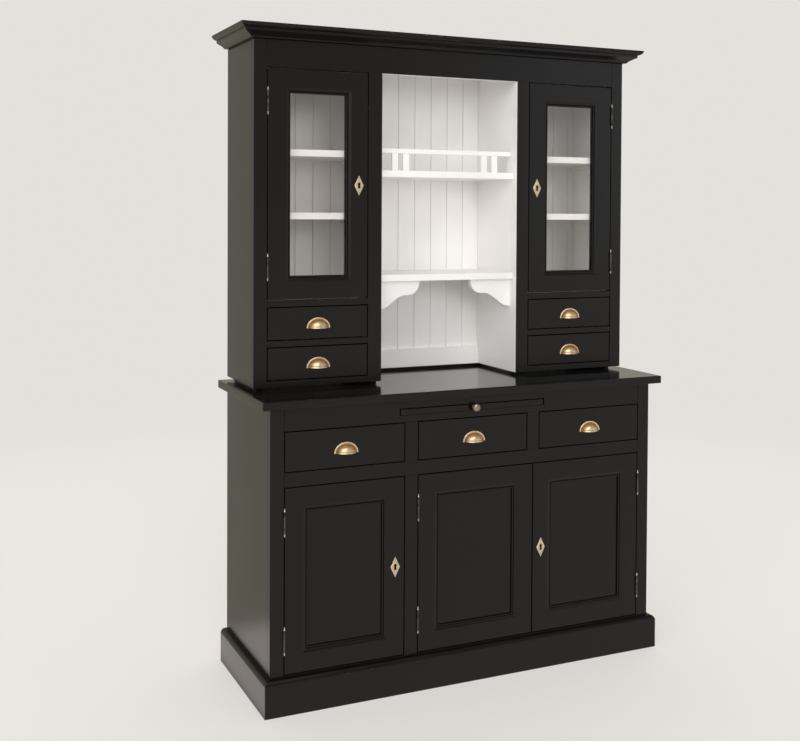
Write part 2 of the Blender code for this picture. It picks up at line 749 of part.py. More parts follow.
def hang_door(name, x_low, x_high, z_low, z_high, face_y, hinge_side, infill, with_lock):
    """One door in its opening; hinge_side is -1 for hinges on the left and +1 on the right."""
    infill_name, infill_thickness, infill_look = infill
    frame, filling = make_door(
        name,
        x_low + SWING_GAP, x_high - SWING_GAP, z_low + SWING_GAP, z_high - SWING_GAP,
        face_y, infill_name, infill_thickness, infill_look,
    )
    pieces = [frame, filling]
    edge = x_low if hinge_side < 0 else x_high
    axis_x = edge - hinge_side * SWING_GAP / 2
    heights = (("lower", z_low + SWING_GAP + HINGE_FROM_END), ("upper", z_high - SWING_GAP - HINGE_FROM_END))
    for level, z in heights:
        pieces.append(make_hinge(name + "_hinge_" + level, axis_x, face_y, z, -hinge_side))
    if with_lock:
        free_edge = x_high - SWING_GAP if hinge_side < 0 else x_low + SWING_GAP
        plate_x = free_edge + hinge_side * DOOR_RAIL / 2
        pieces.append(make_key_plate(name + "_key_plate", plate_x, face_y, (z_low + z_high) / 2))
    pin = joint_empty(name + "_pin", (axis_x, face_y - BARREL_RADIUS, (z_low + z_high) / 2))
    hang_on(pin, pieces)


def make_doors():
    panel = ("panel", PANEL_THICKNESS, PAINT_BLACK)
    pane = ("glass", GLASS_THICKNESS, GLASS)
    post_left = -POST_X - STILE / 2
    post_right = -POST_X + STILE / 2
    meeting = (post_right + FRAME_INSIDE) / 2
    half_gap = SWING_GAP / 2
    base_levels = (DOOR_SILL, BASE_DOOR_TOP, BASE_FACE_Y)
    hang_door("base_door_left", -FRAME_INSIDE, post_left, *base_levels, -1, panel, True)
    hang_door("base_door_middle", post_right, meeting + half_gap, *base_levels, -1, panel, False)
    hang_door("base_door_right", meeting - half_gap, FRAME_INSIDE, *base_levels, 1, panel, True)
    hutch_levels = (HUTCH_DOOR_SILL, HUTCH_DOOR_TOP, HUTCH_FACE_Y)
    hang_door("hutch_door_left", -FRAME_INSIDE, -HUTCH_OPENING_INSIDE, *hutch_levels, -1, pane, True)
    hang_door("hutch_door_right", HUTCH_OPENING_INSIDE, FRAME_INSIDE, *hutch_levels, 1, pane, True)


# Hutch

def make_hutch_frame():
    frame = board(
        "hutch_face_frame",
        (-HALF_CASE, HUTCH_FACE_Y, HUTCH_BOTTOM),
        (HALF_CASE, HUTCH_FRAME_BACK_Y, HUTCH_TOP - GLUE_GAP),
        PAINT_BLACK,
    )
    opening(frame, "niche", -NICHE_HALF, NICHE_HALF, HUTCH_BOTTOM - OVERRUN, HUTCH_DOOR_TOP, HUTCH_FACE_Y)
    rows = (
        ("door", HUTCH_DOOR_SILL, HUTCH_DOOR_TOP),
        ("upper_drawer", UPPER_DRAWER_SILL, UPPER_DRAWER_SILL + HUTCH_DRAWER_OPENING),
        ("lower_drawer", LOWER_DRAWER_SILL, LOWER_DRAWER_SILL + HUTCH_DRAWER_OPENING),
    )
    for side, word in ((-1, "left"), (1, "right")):
        x_low, x_high = sorted((side * HUTCH_OPENING_INSIDE, side * FRAME_INSIDE))
        for row, z_low, z_high in rows:
            opening(frame, row + "_" + word, x_low, x_high, z_low, z_high, HUTCH_FACE_Y)


def make_partition(side, word):
    """Upright between niche and cupboard, with the cupboard's floors, shelves and feet housed in it."""
    front_y = HUTCH_FRAME_BACK_Y + GLUE_GAP
    x_low, x_high = sorted((side * NICHE_HALF, side * (NICHE_HALF + CASE_BOARD)))
    upright = board(
        "hutch_partition_" + word,
        (x_low, front_y, HUTCH_BOTTOM),
        (x_high, INNER_BACK_Y, HUTCH_TOP - GLUE_GAP),
        PAINT_WHITE,
    )
    housed = side * (NICHE_HALF + CASE_BOARD / 2)
    reach = sorted((housed, side * CASE_INSIDE))
    levels = [
        ("bottom", LOWER_DRAWER_SILL - HUTCH_RAIL, LOWER_DRAWER_SILL, front_y),
        ("runner", UPPER_DRAWER_SILL - HUTCH_RAIL, UPPER_DRAWER_SILL, front_y),
        ("floor", HUTCH_DOOR_SILL - HUTCH_RAIL, HUTCH_DOOR_SILL, front_y),
    ]
    shelf_front = HUTCH_FRAME_BACK_Y + SIDE_SHELF_SETBACK
    for level, height in (("lower_shelf", LOWER_SIDE_SHELF), ("upper_shelf", UPPER_SIDE_SHELF)):
        levels.append((level, height, height + SHELF_THICKNESS, shelf_front))
    for level, z_low, z_high, level_front in levels:
        tool = board(
            upright.name + "_" + level,
            (reach[0], level_front, z_low), (reach[1], INNER_BACK_Y, z_high),
        )
        join(upright, tool)
    foot_places = (NICHE_HALF, CASE_INSIDE - FOOT_WIDTH)
    for number, near in enumerate(foot_places):
        foot_low, foot_high = sorted((side * near, side * (near + FOOT_WIDTH)))
        foot = board(
            upright.name + "_foot_%d" % (number + 1),
            (foot_low, HUTCH_FRAME_BACK_Y + FOOT_SETBACK, WORKTOP_TOP + GLUE_GAP),
            (foot_high, INNER_BACK_Y - FOOT_SETBACK, HUTCH_BOTTOM + HUTCH_RAIL / 2),
        )
        join(upright, foot)


def make_upper_niche_shelf():
    """Upper niche shelf with its low rail on two pairs of flat balusters."""
    half_width = NICHE_HALF - GLUE_GAP
    top = UPPER_NICHE_SHELF + SHELF_THICKNESS
    shelf = board(
        "niche_shelf_upper",
        (-half_width, HUTCH_FRAME_BACK_Y, UPPER_NICHE_SHELF),
        (half_width, INNER_BACK_Y, top),
        PAINT_WHITE,
    )
    front_y = HUTCH_FACE_Y + TRIM_SETBACK
    back_y = front_y + GALLERY_THICKNESS
    rail_bottom = top + GALLERY_CLEARANCE
    rail = board(
        "gallery_rail",
        (-half_width, front_y, rail_bottom), (half_width, back_y, rail_bottom + GALLERY_RAIL),
    )
    join(shelf, rail)
    for side, word in ((-1, "left"), (1, "right")):
        for number, from_wall in enumerate(BALUSTERS_FROM_WALL):
            middle = side * (NICHE_HALF - from_wall)
            baluster = board(
                "gallery_baluster_%s_%d" % (word, number + 1),
                (middle - BALUSTER_WIDTH / 2, front_y + BALUSTER_RELIEF, top - SHELF_THICKNESS / 2),
                (middle + BALUSTER_WIDTH / 2, back_y - BALUSTER_RELIEF, rail_bottom + GALLERY_RAIL / 2),
            )
            join(shelf, baluster)


def bracket_outline(side):
    """Round lobe at the free end, short level run, then a long ogee down to the niche's side."""
    free_end = NICHE_HALF - BRACKET_REACH
    wall_end = NICHE_HALF - GLUE_GAP
    points = [(wall_end, SHELF_THICKNESS / 2), (free_end, SHELF_THICKNESS / 2)]
    for step in range(7):
        angle = math.pi / 2 * step / 6
        x = free_end + BRACKET_LOBE_LENGTH * (1 - math.cos(angle))
        points.append((x, -BRACKET_LOBE_DROP * math.sin(angle)))
    curve_start = free_end + BRACKET_LOBE_LENGTH + BRACKET_LEVEL_RUN
    curve_end = wall_end - BRACKET_TOE
    for step in range(9):
        share = step / 8
        eased = share * share * (3 - 2 * share)
        x = curve_start + (curve_end - curve_start) * share
        points.append((x, -BRACKET_LOBE_DROP - (BRACKET_DROP - BRACKET_LOBE_DROP) * eased))
    points.append((wall_end, -BRACKET_DROP))
    return [(side * x, z) for x, z in points]


def make_lower_niche_shelf():
    """Lower niche shelf with an arch bracket glued under each end."""
    half_width = NICHE_HALF - GLUE_GAP
    shelf = board(
        "niche_shelf_lower",
        (-half_width, HUTCH_FRAME_BACK_Y, LOWER_NICHE_SHELF),
        (half_width, INNER_BACK_Y, LOWER_NICHE_SHELF + SHELF_THICKNESS),
        PAINT_WHITE,
    )
    front_y = HUTCH_FACE_Y + TRIM_SETBACK
    for side, word in ((-1, "left"), (1, "right")):
        bracket = flat_shape(
            "niche_bracket_" + word, bracket_outline(side),
            front_y, front_y + BRACKET_THICKNESS, (0.0, LOWER_NICHE_SHELF),
        )
        join(shelf, bracket)


def make_hutch_back():
    """Matched boards with the niche's skirting in front, and a foot rail under them at the niche."""
    back = make_back("hutch_back", HUTCH_BOTTOM, HUTCH_TOP, PAINT_WHITE)
    half_width = NICHE_HALF - GLUE_GAP
    housed_y = REAR_Y - BACK_THICKNESS / 4
    skirting_top = HUTCH_BOTTOM + NICHE_SKIRTING_HEIGHT
    skirting = board(
        "niche_skirting",
        (-half_width, BACK_FACE_Y - NICHE_SKIRTING_THICKNESS, HUTCH_BOTTOM),
        (half_width, housed_y, skirting_top),
    )
    join(back, skirting)
    foot_rail = board(
        "niche_foot_rail",
        (-half_width, INNER_BACK_Y, WORKTOP_TOP + GLUE_GAP),
        (half_width, housed_y, HUTCH_BOTTOM + HUTCH_FOOT),
    )
    join(back, foot_rail)


def make_dresser():
    make_plinth()
    make_base_case()
    make_base_frame()
    make_worktop()
    make_base_drawers()
    make_pull_out_board()
    make_sides("hutch", HUTCH_FRAME_BACK_Y, HUTCH_BOTTOM, HUTCH_TOP)
    make_hutch_frame()
    make_hutch_back()
    make_partition(-1, "left")
    make_partition(1, "right")
    make_upper_niche_shelf()
    make_lower_niche_shelf()
    make_hutch_drawers()
    make_doors()
    make_cornice()


clear_scene()
PIECES = new_collection("kitchen_dresser")
CUTTERS = new_collection("cutters")
make_dresser()
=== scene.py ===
"""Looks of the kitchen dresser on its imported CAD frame: joinery, mouldings, ironmongery, finishes, light.

Metres, in the frame of the CAD model: +X to the right, -Y to the front, +Z up, the floor at z = 0.
"""

import math

import bmesh
import bpy
import numpy as np
from mathutils import Matrix, Vector


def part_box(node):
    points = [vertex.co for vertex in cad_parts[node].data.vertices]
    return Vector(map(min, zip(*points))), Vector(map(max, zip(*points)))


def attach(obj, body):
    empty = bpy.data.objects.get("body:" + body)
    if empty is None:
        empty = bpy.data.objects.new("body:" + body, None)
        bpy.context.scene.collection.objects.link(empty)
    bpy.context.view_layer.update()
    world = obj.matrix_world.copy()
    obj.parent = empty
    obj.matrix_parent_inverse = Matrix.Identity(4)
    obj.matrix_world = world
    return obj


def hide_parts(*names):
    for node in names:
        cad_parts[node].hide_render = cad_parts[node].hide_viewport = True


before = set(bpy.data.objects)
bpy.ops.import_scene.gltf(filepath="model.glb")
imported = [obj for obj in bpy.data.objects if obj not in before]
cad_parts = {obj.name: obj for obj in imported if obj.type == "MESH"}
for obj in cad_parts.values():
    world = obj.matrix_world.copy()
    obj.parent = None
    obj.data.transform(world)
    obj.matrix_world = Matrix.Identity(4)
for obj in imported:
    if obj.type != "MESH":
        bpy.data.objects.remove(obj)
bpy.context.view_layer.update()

# Gaps and arrises
GLUE_GAP = 0.0003          # between pieces that touch
SWING_GAP = 0.0025         # round a door or a drawer front
EASE = np.array([0.0006, 0.0, 0.0003])   # planed off the edges of a door or drawer front
ARRIS = 0.0012             # rounding of a sanded edge
TIGHT_ARRIS = 0.0010       # the same where two members meet and show a fine line
JOINT = 0.0006             # open line between two such members
SHARP = math.radians(50)   # edges bent more than this stay crisp

# Boards
FACE_THICKNESS = 0.022
CASE_BOARD = 0.020
SHELF_BOARD = 0.022
RUNNER_BOARD = 0.020
TOP_BOARD = 0.026
BOX_BOARD = 0.012
STILE = 0.044
NICHE_STILE = 0.048
DOOR_RAIL = 0.0585
MOULDING = 0.0165          # width of a door's moulding
GROOVE = 0.0093            # how far a panel or a pane goes in behind it
SLOT_HEIGHT = 0.022
PLANK_WIDTH = 0.0647
PLANK_JOINT = -0.003       # x of the joint nearest the middle
SKIRTING = 0.065
CLEAT = 0.012
FOOT = 0.022
FEET_TOP = 0.962
SIDE_SHELVES = (1.4925, 1.6945)   # undersides

# Ironmongery. Profiles are radius and height, and a finial's height runs down from its tip
BARREL = 0.0035            # radius of a hinge's barrel
LEAF = 0.0010              # thickness of a hinge's leaf
LEAF_HALF = 0.028
FINIAL_LENGTH = 0.0095
FINIAL = (
    (0.0, 0.0), (0.0012, 0.0003), (0.0022, 0.0014), (0.0025, 0.0028), (0.0021, 0.0043), (0.0014, 0.0054),
    (0.0020, 0.0060), (0.0033, 0.0068), (0.0037, 0.0080), (0.0033, 0.0091),
)
PLATE_PIN = ((0.0, 0.0), (0.0012, 0.0), (0.0010, 0.0004), (0.0, 0.0006))
LOCK_SCREW = ((0.0, 0.0), (0.0028, 0.0), (0.0024, 0.0007), (0.0, 0.0010))
LEAF_SCREW = ((0.0, 0.0), (0.0022, 0.0), (0.0019, 0.0003), (0.0, 0.0004))
BACK_SCREW = ((0.0, 0.0), (0.0034, 0.0), (0.0030, 0.0008), (0.0016, 0.0013), (0.0, 0.0014))

# Directions, and for the left and the right the sign, the outer and the inner side of what stands there
RIGHT = (1.0, 0.0, 0.0)
REARWARD = (0.0, 1.0, 0.0)
FORWARD = (0.0, -1.0, 0.0)
UP = (0.0, 0.0, 1.0)
FLANKS = ((-1, "-x", "+x"), (1, "+x", "-x"))
SIDES = ("-x", "+x", "-y", "+y", "-z", "+z")

CHANCE = np.random.default_rng(11)


def low(node):
    return np.array(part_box(node)[0])


def high(node):
    return np.array(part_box(node)[1])


def span(node):
    return low(node), high(node)


def around(middle, half):
    return middle - half, middle + half


def opening(node):
    """The hole that a door or drawer front hangs in: x and z limits."""
    start, end = span(node)
    sill = start[2] - (GLUE_GAP if "drawer" in node else SWING_GAP)
    return start[0] - SWING_GAP, end[0] + SWING_GAP, sill, end[2] + SWING_GAP


# Places that follow from the CAD model
HALF_CASE = high("hutch_face_frame")[0]
CASE_INSIDE = HALF_CASE - CASE_BOARD - GLUE_GAP
FRAME_INSIDE = HALF_CASE - STILE
NICHE_HALF = high("niche_shelf_upper")[0] + GLUE_GAP
NICHE_OUTSIDE = NICHE_HALF + NICHE_STILE
REAR_Y = high("worktop")[1]
PLANK_REAR_Y = REAR_Y - 0.0016
PLANK_FACE_Y = REAR_Y - 0.012
INNER_BACK_Y = PLANK_FACE_Y - GLUE_GAP
BASE_FACE_Y = low("base_face_frame")[1]
BASE_FRAME_BACK_Y = BASE_FACE_Y + FACE_THICKNESS
HUTCH_FACE_Y = low("hutch_face_frame")[1]
HUTCH_FRAME_BACK_Y = HUTCH_FACE_Y + FACE_THICKNESS
TRIM_FRONT_Y = HUTCH_FACE_Y + 0.040
WORKTOP_TOP = high("worktop")[2]
FEET_HEIGHT = (WORKTOP_TOP + GLUE_GAP, FEET_TOP)
HUTCH_TOP = low("cornice")[2]
BASE_DOOR = opening("base_door_left_frame")
BASE_MIDDLE_DOOR = opening("base_door_middle_frame")
BASE_DRAWER = opening("base_drawer_left")
HUTCH_DOOR = opening("hutch_door_left_frame")
UPPER_DRAWER = opening("hutch_drawer_left_upper")
LOWER_DRAWER = opening("hutch_drawer_left_lower")
DRAWER_POST_X = opening("base_drawer_middle")[1] + STILE / 2
SLOT_LOW = low("pull_board")[2] - GLUE_GAP
SLOT_HIGH = SLOT_LOW + SLOT_HEIGHT
SLOT_HALF = high("pull_board")[0] + SWING_GAP / 2


# Shader maths

class Amount:
    """A number that varies over a surface. Arithmetic with it adds the Math nodes."""

    def __init__(self, graph, socket):
        self.graph = graph
        self.socket = socket

    def maths(self, operation, *values):
        return self.graph.node("ShaderNodeMath", dict(enumerate(values)), operation=operation)

    def __add__(self, other):
        return self.maths("ADD", self, other)

    def __sub__(self, other):
        return self.maths("SUBTRACT", self, other)

    def __rsub__(self, other):
        return self.maths("SUBTRACT", other, self)

    def __mul__(self, other):
        return self.maths("MULTIPLY", self, other)

    def __pow__(self, other):
        return self.maths("POWER", self, other)

    __radd__ = __add__
    __rmul__ = __mul__

    def clipped(self):
        return self.graph.node("ShaderNodeClamp", {0: self})


class Graph:
    """The node tree of a material or of the world."""

    def __init__(self, tree):
        self.tree = tree

    def feed(self, socket, value):
        """Links a worked-out value or sets a constant one. Colours come without their alpha."""
        if isinstance(value, Amount):
            self.tree.links.new(value.socket, socket)
        elif socket.type == "RGBA":
            socket.default_value = (*value, 1.0)
        else:
            socket.default_value = value

    def node(self, kind, sockets, output=0, **settings):
        """Adds a node: its settings first, then the values or the links of its sockets."""
        made = self.tree.nodes.new(kind)
        for setting, value in settings.items():
            setattr(made, setting, value)
        for socket, value in sockets.items():
            self.feed(made.inputs[socket], value)
        return Amount(self, made.outputs[output])

    def noise(self, place, scale, detail=3.0, roughness=0.55):
        sockets = {"Vector": place, "Scale": scale, "Detail": detail, "Roughness": roughness}
        return self.node("ShaderNodeTexNoise", sockets)

    def stepped(self, value, start, end):
        """0 below start, 1 above end, and a smooth rise between them."""
        sockets = {"Value": value, "From Min": start, "From Max": end}
        return self.node("ShaderNodeMapRange", sockets, interpolation_type="SMOOTHSTEP")

    def tint(self, factor, first, second):
        return self.node("ShaderNodeMix", {0: factor, 6: first, 7: second}, 2, data_type="RGBA")

    def vector(self, operation, sockets, output="Vector"):
        return self.node("ShaderNodeVectorMath", sockets, output, operation=operation)

    def part(self, vector, axis):
        return self.node("ShaderNodeSeparateXYZ", {0: vector}, axis)

    def ray(self, kind):
        return self.node("ShaderNodeLightPath", {}, kind)


class Finish(Graph):
    """A material and its Principled shader."""

    def __init__(self, name):
        self.material = bpy.data.materials.new(name)
        self.material.use_nodes = True
        super().__init__(self.material.node_tree)
        self.shader = self.tree.nodes["Principled BSDF"]

    def place(self):
        return self.node("ShaderNodeTexCoord", {}, "Object")

    def noted(self, name, output="Fac"):
        return self.node("ShaderNodeAttribute", {}, output, attribute_name=name)

    def along_grain(self, stretch):
        """Place on a board with its length shortened by stretch, and every board shifted by its own amount."""
        place = self.place()
        grain = self.noted("grain", "Vector")
        along = self.vector("DOT_PRODUCT", {0: place, 1: grain}, "Value")
        shortened = self.vector("SCALE", {0: grain, "Scale": along * (1.0 / stretch - 1.0)})
        shift = self.vector("SCALE", {0: (3.1, 7.7, 5.3), "Scale": self.noted("stock")})
        pulled = self.vector("ADD", {0: place, 1: shortened})
        return self.vector("ADD", {0: pulled, 1: shift})

    def set(self, **sockets):
        """Feeds the shader's sockets; an underscore in a name stands for a space."""
        for name, value in sockets.items():
            self.feed(self.shader.inputs[name.replace("_", " ")], value)

    def blend(self, factor, first):
        """Puts the first shader before the main one: the factor is the share of the main one."""
        mixed = self.tree.nodes.new("ShaderNodeMixShader")
        self.feed(mixed.inputs[0], factor)
        self.tree.links.new(first.socket, mixed.inputs[1])
        self.tree.links.new(self.shader.outputs[0], mixed.inputs[2])
        self.tree.links.new(mixed.outputs[0], self.tree.nodes["Material Output"].inputs["Surface"])

    def bump(self, height, distance, strength=1.0):
        sockets = {"Height": height, "Distance": distance, "Strength": strength}
        self.feed(self.shader.inputs["Normal"], self.node("ShaderNodeBump", sockets, "Normal"))


def lacquer(name, colour, wear_and_highlight_colour, roughness, ior, wear_and_highlight_share, grain_depth):
    """Sprayed lacquer: faint cloudiness, brush-fine grain telegraphing through, and lighter patches on the
    arrises that are partly wear and partly painted highlight.
    """
    finish = Finish(name)
    place = finish.place()
    pulled = finish.along_grain(14.0)
    cloud = finish.noise(place, 3.5, 2.0)
    grain = finish.noise(pulled, 260.0, 4.0, 0.6)
    pores = finish.noise(pulled, 900.0, 2.0)
    peel = finish.noise(place, 420.0, 1.0)
    # lighter patches on the arrises: partly wear, partly painted highlight
    wear_and_highlight_patches = finish.stepped(finish.noise(place, 38.0, 4.0, 0.7), 0.56, 0.70)
    wear_and_highlight = (finish.stepped(finish.noted("edge"), 0.45, 0.95) * wear_and_highlight_patches * wear_and_highlight_share).clipped()
    darker = tuple(0.86 * channel for channel in colour)
    lighter = tuple(1.12 * channel for channel in colour)
    finish.set(
        Base_Color=finish.tint(wear_and_highlight, finish.tint(cloud, darker, lighter), wear_and_highlight_colour),
        Roughness=roughness + 0.10 * (cloud - 0.5) + 0.08 * (grain - 0.5) + 0.15 * wear_and_highlight,
        IOR=ior,
    )
    finish.bump(grain * 0.6 + pores * 0.25 + peel * 0.35, grain_depth)
    return finish.material


def pine(name, pale, dark):
    """Bare pine: yearly rings as the level lines of a stretched noise, fine fibre, a tone for each board."""
    finish = Finish(name)
    pulled = finish.along_grain(16.0)
    bend = finish.noise(pulled, 9.0, 2.0)
    rings = 0.5 + 0.5 * bend.maths("SINE", bend * 75.0)
    fibre = finish.noise(pulled, 420.0, 4.0, 0.7)
    tone = finish.noise(pulled, 0.5, 0.0)
    band = (0.40 * finish.stepped(rings, 0.25, 1.0) + 0.30 * fibre + 1.20 * (tone - 0.38)).clipped()
    finish.set(Base_Color=finish.tint(band, pale, dark), Roughness=0.52 + 0.16 * fibre)
    finish.bump(fibre * 0.7 + rings * 0.3, 0.00015)
    return finish.material


def metal(name, bright, dull, roughness, mottle, metallic):
    """Worn metal: dull in the hollows, bright where hands and cloths rub, with fine scratches and spots."""
    finish = Finish(name)
    place = finish.place()
    drawn = finish.node("ShaderNodeMapping", {"Vector": place, "Scale": (1.0, 1.0, 9.0)})
    spots = finish.noise(place, 240.0, 4.0, 0.65)
    cloud = finish.noise(place, 70.0, 2.0)
    scratches = finish.noise(drawn, 900.0)
    rubbed = (finish.noted("edge") * 0.85 + (cloud - 0.5) * mottle + (spots - 0.5) * 0.35).clipped()
    finish.set(
        Base_Color=finish.tint(rubbed, dull, bright),
        Metallic=metallic,
        Roughness=(roughness + 0.22 * (1.0 - rubbed) + 0.10 * (scratches - 0.5)).clipped(),
    )
    finish.bump(spots * 0.5 + scratches * 0.5, 0.00005)
    return finish.material


def window_glass(name):
    """Clear pane: what lies behind shows through, with the pane's own gloss growing towards a low angle."""
    finish = Finish(name)
    ripple = finish.noise(finish.place(), 9.0, 1.0)
    finish.set(Base_Color=(0.96, 0.95, 0.94), Roughness=0.02, Metallic=1.0)
    finish.bump(ripple, 0.0006, 0.25)
    facing = finish.node("ShaderNodeLayerWeight", {}, "Facing")
    clear = finish.node("ShaderNodeBsdfTransparent", {"Color": (0.99, 0.983, 0.975)})
    finish.blend(0.03 + 0.9 * facing**5.0, clear)
    return finish.material


BLACK, GAP_SHADE_BLACK, BLACK_TOP, WHITE = (lacquer(*row) for row in (
    # name, colour, colour of the worn arrises with their painted highlight, roughness, index of refraction,
    # strength of that wear and painted highlight, depth of the grain
    ("black_lacquer", (0.0060, 0.0053, 0.0048), (0.070, 0.062, 0.054), 0.24, 1.47, 0.75, 0.00006),
    # darker, matter black for faces inside gaps, quirks and recesses: painted shade
    ("black_gap_shade", (0.0040, 0.0036, 0.0033), (0.030, 0.027, 0.024), 0.55, 1.30, 0.5, 0.00010),
    ("worktop_lacquer", (0.0070, 0.0064, 0.0060), (0.060, 0.055, 0.050), 0.12, 1.75, 0.6, 0.00002),
    ("white_lacquer", (0.965, 0.946, 0.928), (0.95, 0.94, 0.92), 0.36, 1.45, 0.5, 0.00007),
))
PINE = pine("drawer_pine", (0.74, 0.56, 0.35), (0.52, 0.33, 0.16))
BACK_PINE = pine("back_pine", (0.66, 0.50, 0.33), (0.46, 0.30, 0.16))
BRASS, KNOB_BRASS, PLATE_BRASS, STEEL, SHADE = (metal(*row) for row in (
    # name, bright colour, dull colour, roughness, mottle, share of metal
    ("aged_brass", (1.0, 0.79, 0.53), (0.34, 0.17, 0.045), 0.22, 0.4, 0.55),
    ("brown_brass", (0.50, 0.38, 0.31), (0.11, 0.07, 0.05), 0.16, 1.3, 0.75),
    ("pale_brass", (0.97, 0.85, 0.62), (0.52, 0.37, 0.19), 0.30, 0.8, 0.55),
    ("dark_steel", (0.86, 0.84, 0.80), (0.035, 0.035, 0.034), 0.24, 0.6, 1.0),
    # near-black sheet behind the keyhole: painted shade in the hole
    ("keyhole_painted_shade", (0.004, 0.003, 0.003), (0.002, 0.002, 0.002), 0.7, 0.1, 1.0),
))
GLASS = window_glass("clear_glass")


# Surfaces as arrays

class Shape:
    """Closed surfaces that make up one piece, kept as arrays until the piece is made."""

    def __init__(self):
        self.count = 0
        self.faces, self.finishes = [], []
        self.points, self.edge, self.grain, self.stock = [], [], [], []

    def add(self, points, faces, finish=0, edge=0.0, grain=UP, weld=False):
        """Adds a surface. Finish is a slot, or one for each face; edge is 1 where the finish rubs through, and
        where lacquer also gets a painted highlight.

        Where weld is set, points that coincide become one, and faces lose the corners that this leaves spare.
        """
        points = np.asarray(points, float).reshape(-1, 3)
        edge = np.broadcast_to(np.asarray(edge, float).reshape(-1), (len(points),))
        faces = [list(face) for face in faces]
        if weld:
            rounded = np.round(points * 1e6).astype(np.int64)
            _, first, merged = np.unique(rounded, axis=0, return_index=True, return_inverse=True)
            merged = merged.reshape(-1)
            faces = [[int(merged[corner]) for corner in face] for face in faces]
            faces = [[a for a, b in zip(face, face[-1:] + face[:-1]) if a != b] for face in faces]
            faces = [face for face in faces if len(face) > 2]
            points = points[first]
            edge = edge[first]
        self.points.append(points)
        self.faces += [[int(corner) + self.count for corner in face] for face in faces]
        self.finishes += list(np.broadcast_to(finish, (len(faces),)))
        self.edge.append(edge)
        self.grain.append(np.broadcast_to(np.asarray(grain, float), points.shape))
        self.stock.append(np.full(len(points), CHANCE.random()))
        self.count += len(points)


def make_piece(name, shape, finishes, nodes=(), body="case"):
    """Makes one mesh of a shape. It rides on a body, and stands for the CAD nodes named.
    """
    mesh = bpy.data.meshes.new(name)
    mesh.from_pydata(np.concatenate(shape.points).tolist(), [], shape.faces)
    for finish in finishes:
        mesh.materials.append(finish)
    mesh.polygons.foreach_set("material_index", [int(number) for number in shape.finishes])
    mesh.shade_smooth()
    notes = (("edge", "FLOAT", "value", shape.edge), ("stock", "FLOAT", "value", shape.stock),
             ("grain", "FLOAT_VECTOR", "vector", shape.grain))
    for note, kind, field, values in notes:
        attribute = mesh.attributes.new(note, kind, "POINT")
        attribute.data.foreach_set(field, np.concatenate(values).astype(np.float32).ravel())
    outward = bmesh.new()
    outward.from_mesh(mesh)
    bmesh.ops.recalc_face_normals(outward, faces=outward.faces)
    outward.to_mesh(mesh)
    outward.free()
    mesh.set_sharp_from_angle(angle=SHARP)
    item = bpy.data.objects.new(name, mesh)
    bpy.context.scene.collection.objects.link(item)
    flat_light = item.modifiers.new("even_shading", "WEIGHTED_NORMAL")
    flat_light.keep_sharp = True
    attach(item, body)
    if nodes:
        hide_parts(*nodes)


# Lattice of a board: the points of a 4 x 4 x 4 grid that lie on its outside
GRID = np.stack(np.meshgrid(*[np.arange(4)] * 3, indexing="ij"), -1).reshape(-1, 3)
LATTICE = GRID[((GRID == 0) | (GRID == 3)).any(axis=1)]
OUTWARD = np.where(LATTICE == 0, -1.0, np.where(LATTICE == 3, 1.0, 0.0))
DIRECTION = OUTWARD / np.linalg.norm(OUTWARD, axis=1)[:, None]
NUMBER = np.full((4, 4, 4), -1)
NUMBER[tuple(LATTICE.T)] = np.arange(len(LATTICE))


def grid_quads(number):
    """One quad for each cell of a grid of point numbers."""
    return np.stack([number[:-1, :-1], number[1:, :-1], number[1:, 1:], number[:-1, 1:]], -1).reshape(-1, 4)


BOARD_QUADS = np.concatenate([grid_quads(NUMBER.take(end, axis=axis)) for axis in range(3) for end in (0, 3)])


def by_side(values):
    """Spreads values over single sides: {"-x+x": 1} is 1 on -x and on +x. The last value for a side counts."""
    pairs = (values or {}).items()
    return {sides[i:i + 2]: value for sides, value in pairs for i in range(0, len(sides), 2)}


def add_board(shape, start, end, rounding=ARRIS, joints=None, finish=0, sides=None, grain=None):
    """A board with rounded arrises. Joints gives sides their own rounding, and sides their own finish.

    A lattice point lies at low + r * (1 + d) on the low side and at high - r * (1 - d) on the high side, with d
    the share of its outward direction on that axis and r the rounding of that side.
    """
    corner_low = np.minimum(start, end)
    corner_high = np.maximum(start, end)
    rounding = min(rounding, 0.4 * (corner_high - corner_low).min())
    radii = {**dict.fromkeys(SIDES, rounding), **by_side(joints)}
    radius_low = np.array([radii[side] for side in SIDES[0::2]])
    radius_high = np.array([radii[side] for side in SIDES[1::2]])
    by_low = corner_low + radius_low * (1.0 + DIRECTION)
    by_high = corner_high - radius_high * (1.0 - DIRECTION)
    points = np.where(LATTICE < 2, by_low, by_high)
    square = np.where(LATTICE < 2, radius_low, radius_high) * np.abs(OUTWARD) + 1.0 * (OUTWARD == 0.0)
    edge = ((OUTWARD != 0.0).sum(axis=1) > 1) & (square > 0.0001).all(axis=1)
    finishes = np.full(len(BOARD_QUADS), finish)
    for side, number in by_side(sides).items():
        place = 9 * SIDES.index(side)
        finishes[place:place + 9] = number
    if grain is None:
        grain = np.eye(3)[np.argmax(corner_high - corner_low)]
    shape.add(points, BOARD_QUADS, finishes, edge, grain)


def add_box(shape, x, y, z, **options):
    """A board between two values of x, of y and of z."""
    add_board(shape, *zip(x, y, z), **options)


def add_sweep(shape, rings, finish=0, edge=0.0, grain=UP, closed=False, weld=False):
    """A closed section carried along a path: rings[i, j] is point j of the section at station i."""
    stations, section = rings.shape[:2]
    number = np.arange(stations * section).reshape(stations, section)
    around_section = np.concatenate([number, number[:, :1]], axis=1)
    if closed:
        around_section = np.concatenate([around_section, around_section[:1]])
    faces = [list(face) for face in grid_quads(around_section)]
    if not closed:
        faces += [list(number[0]), list(number[-1])]
    edge = np.broadcast_to(np.asarray(edge, float), (stations, section)).ravel()
    shape.add(rings, faces, finish, edge, grain, weld)


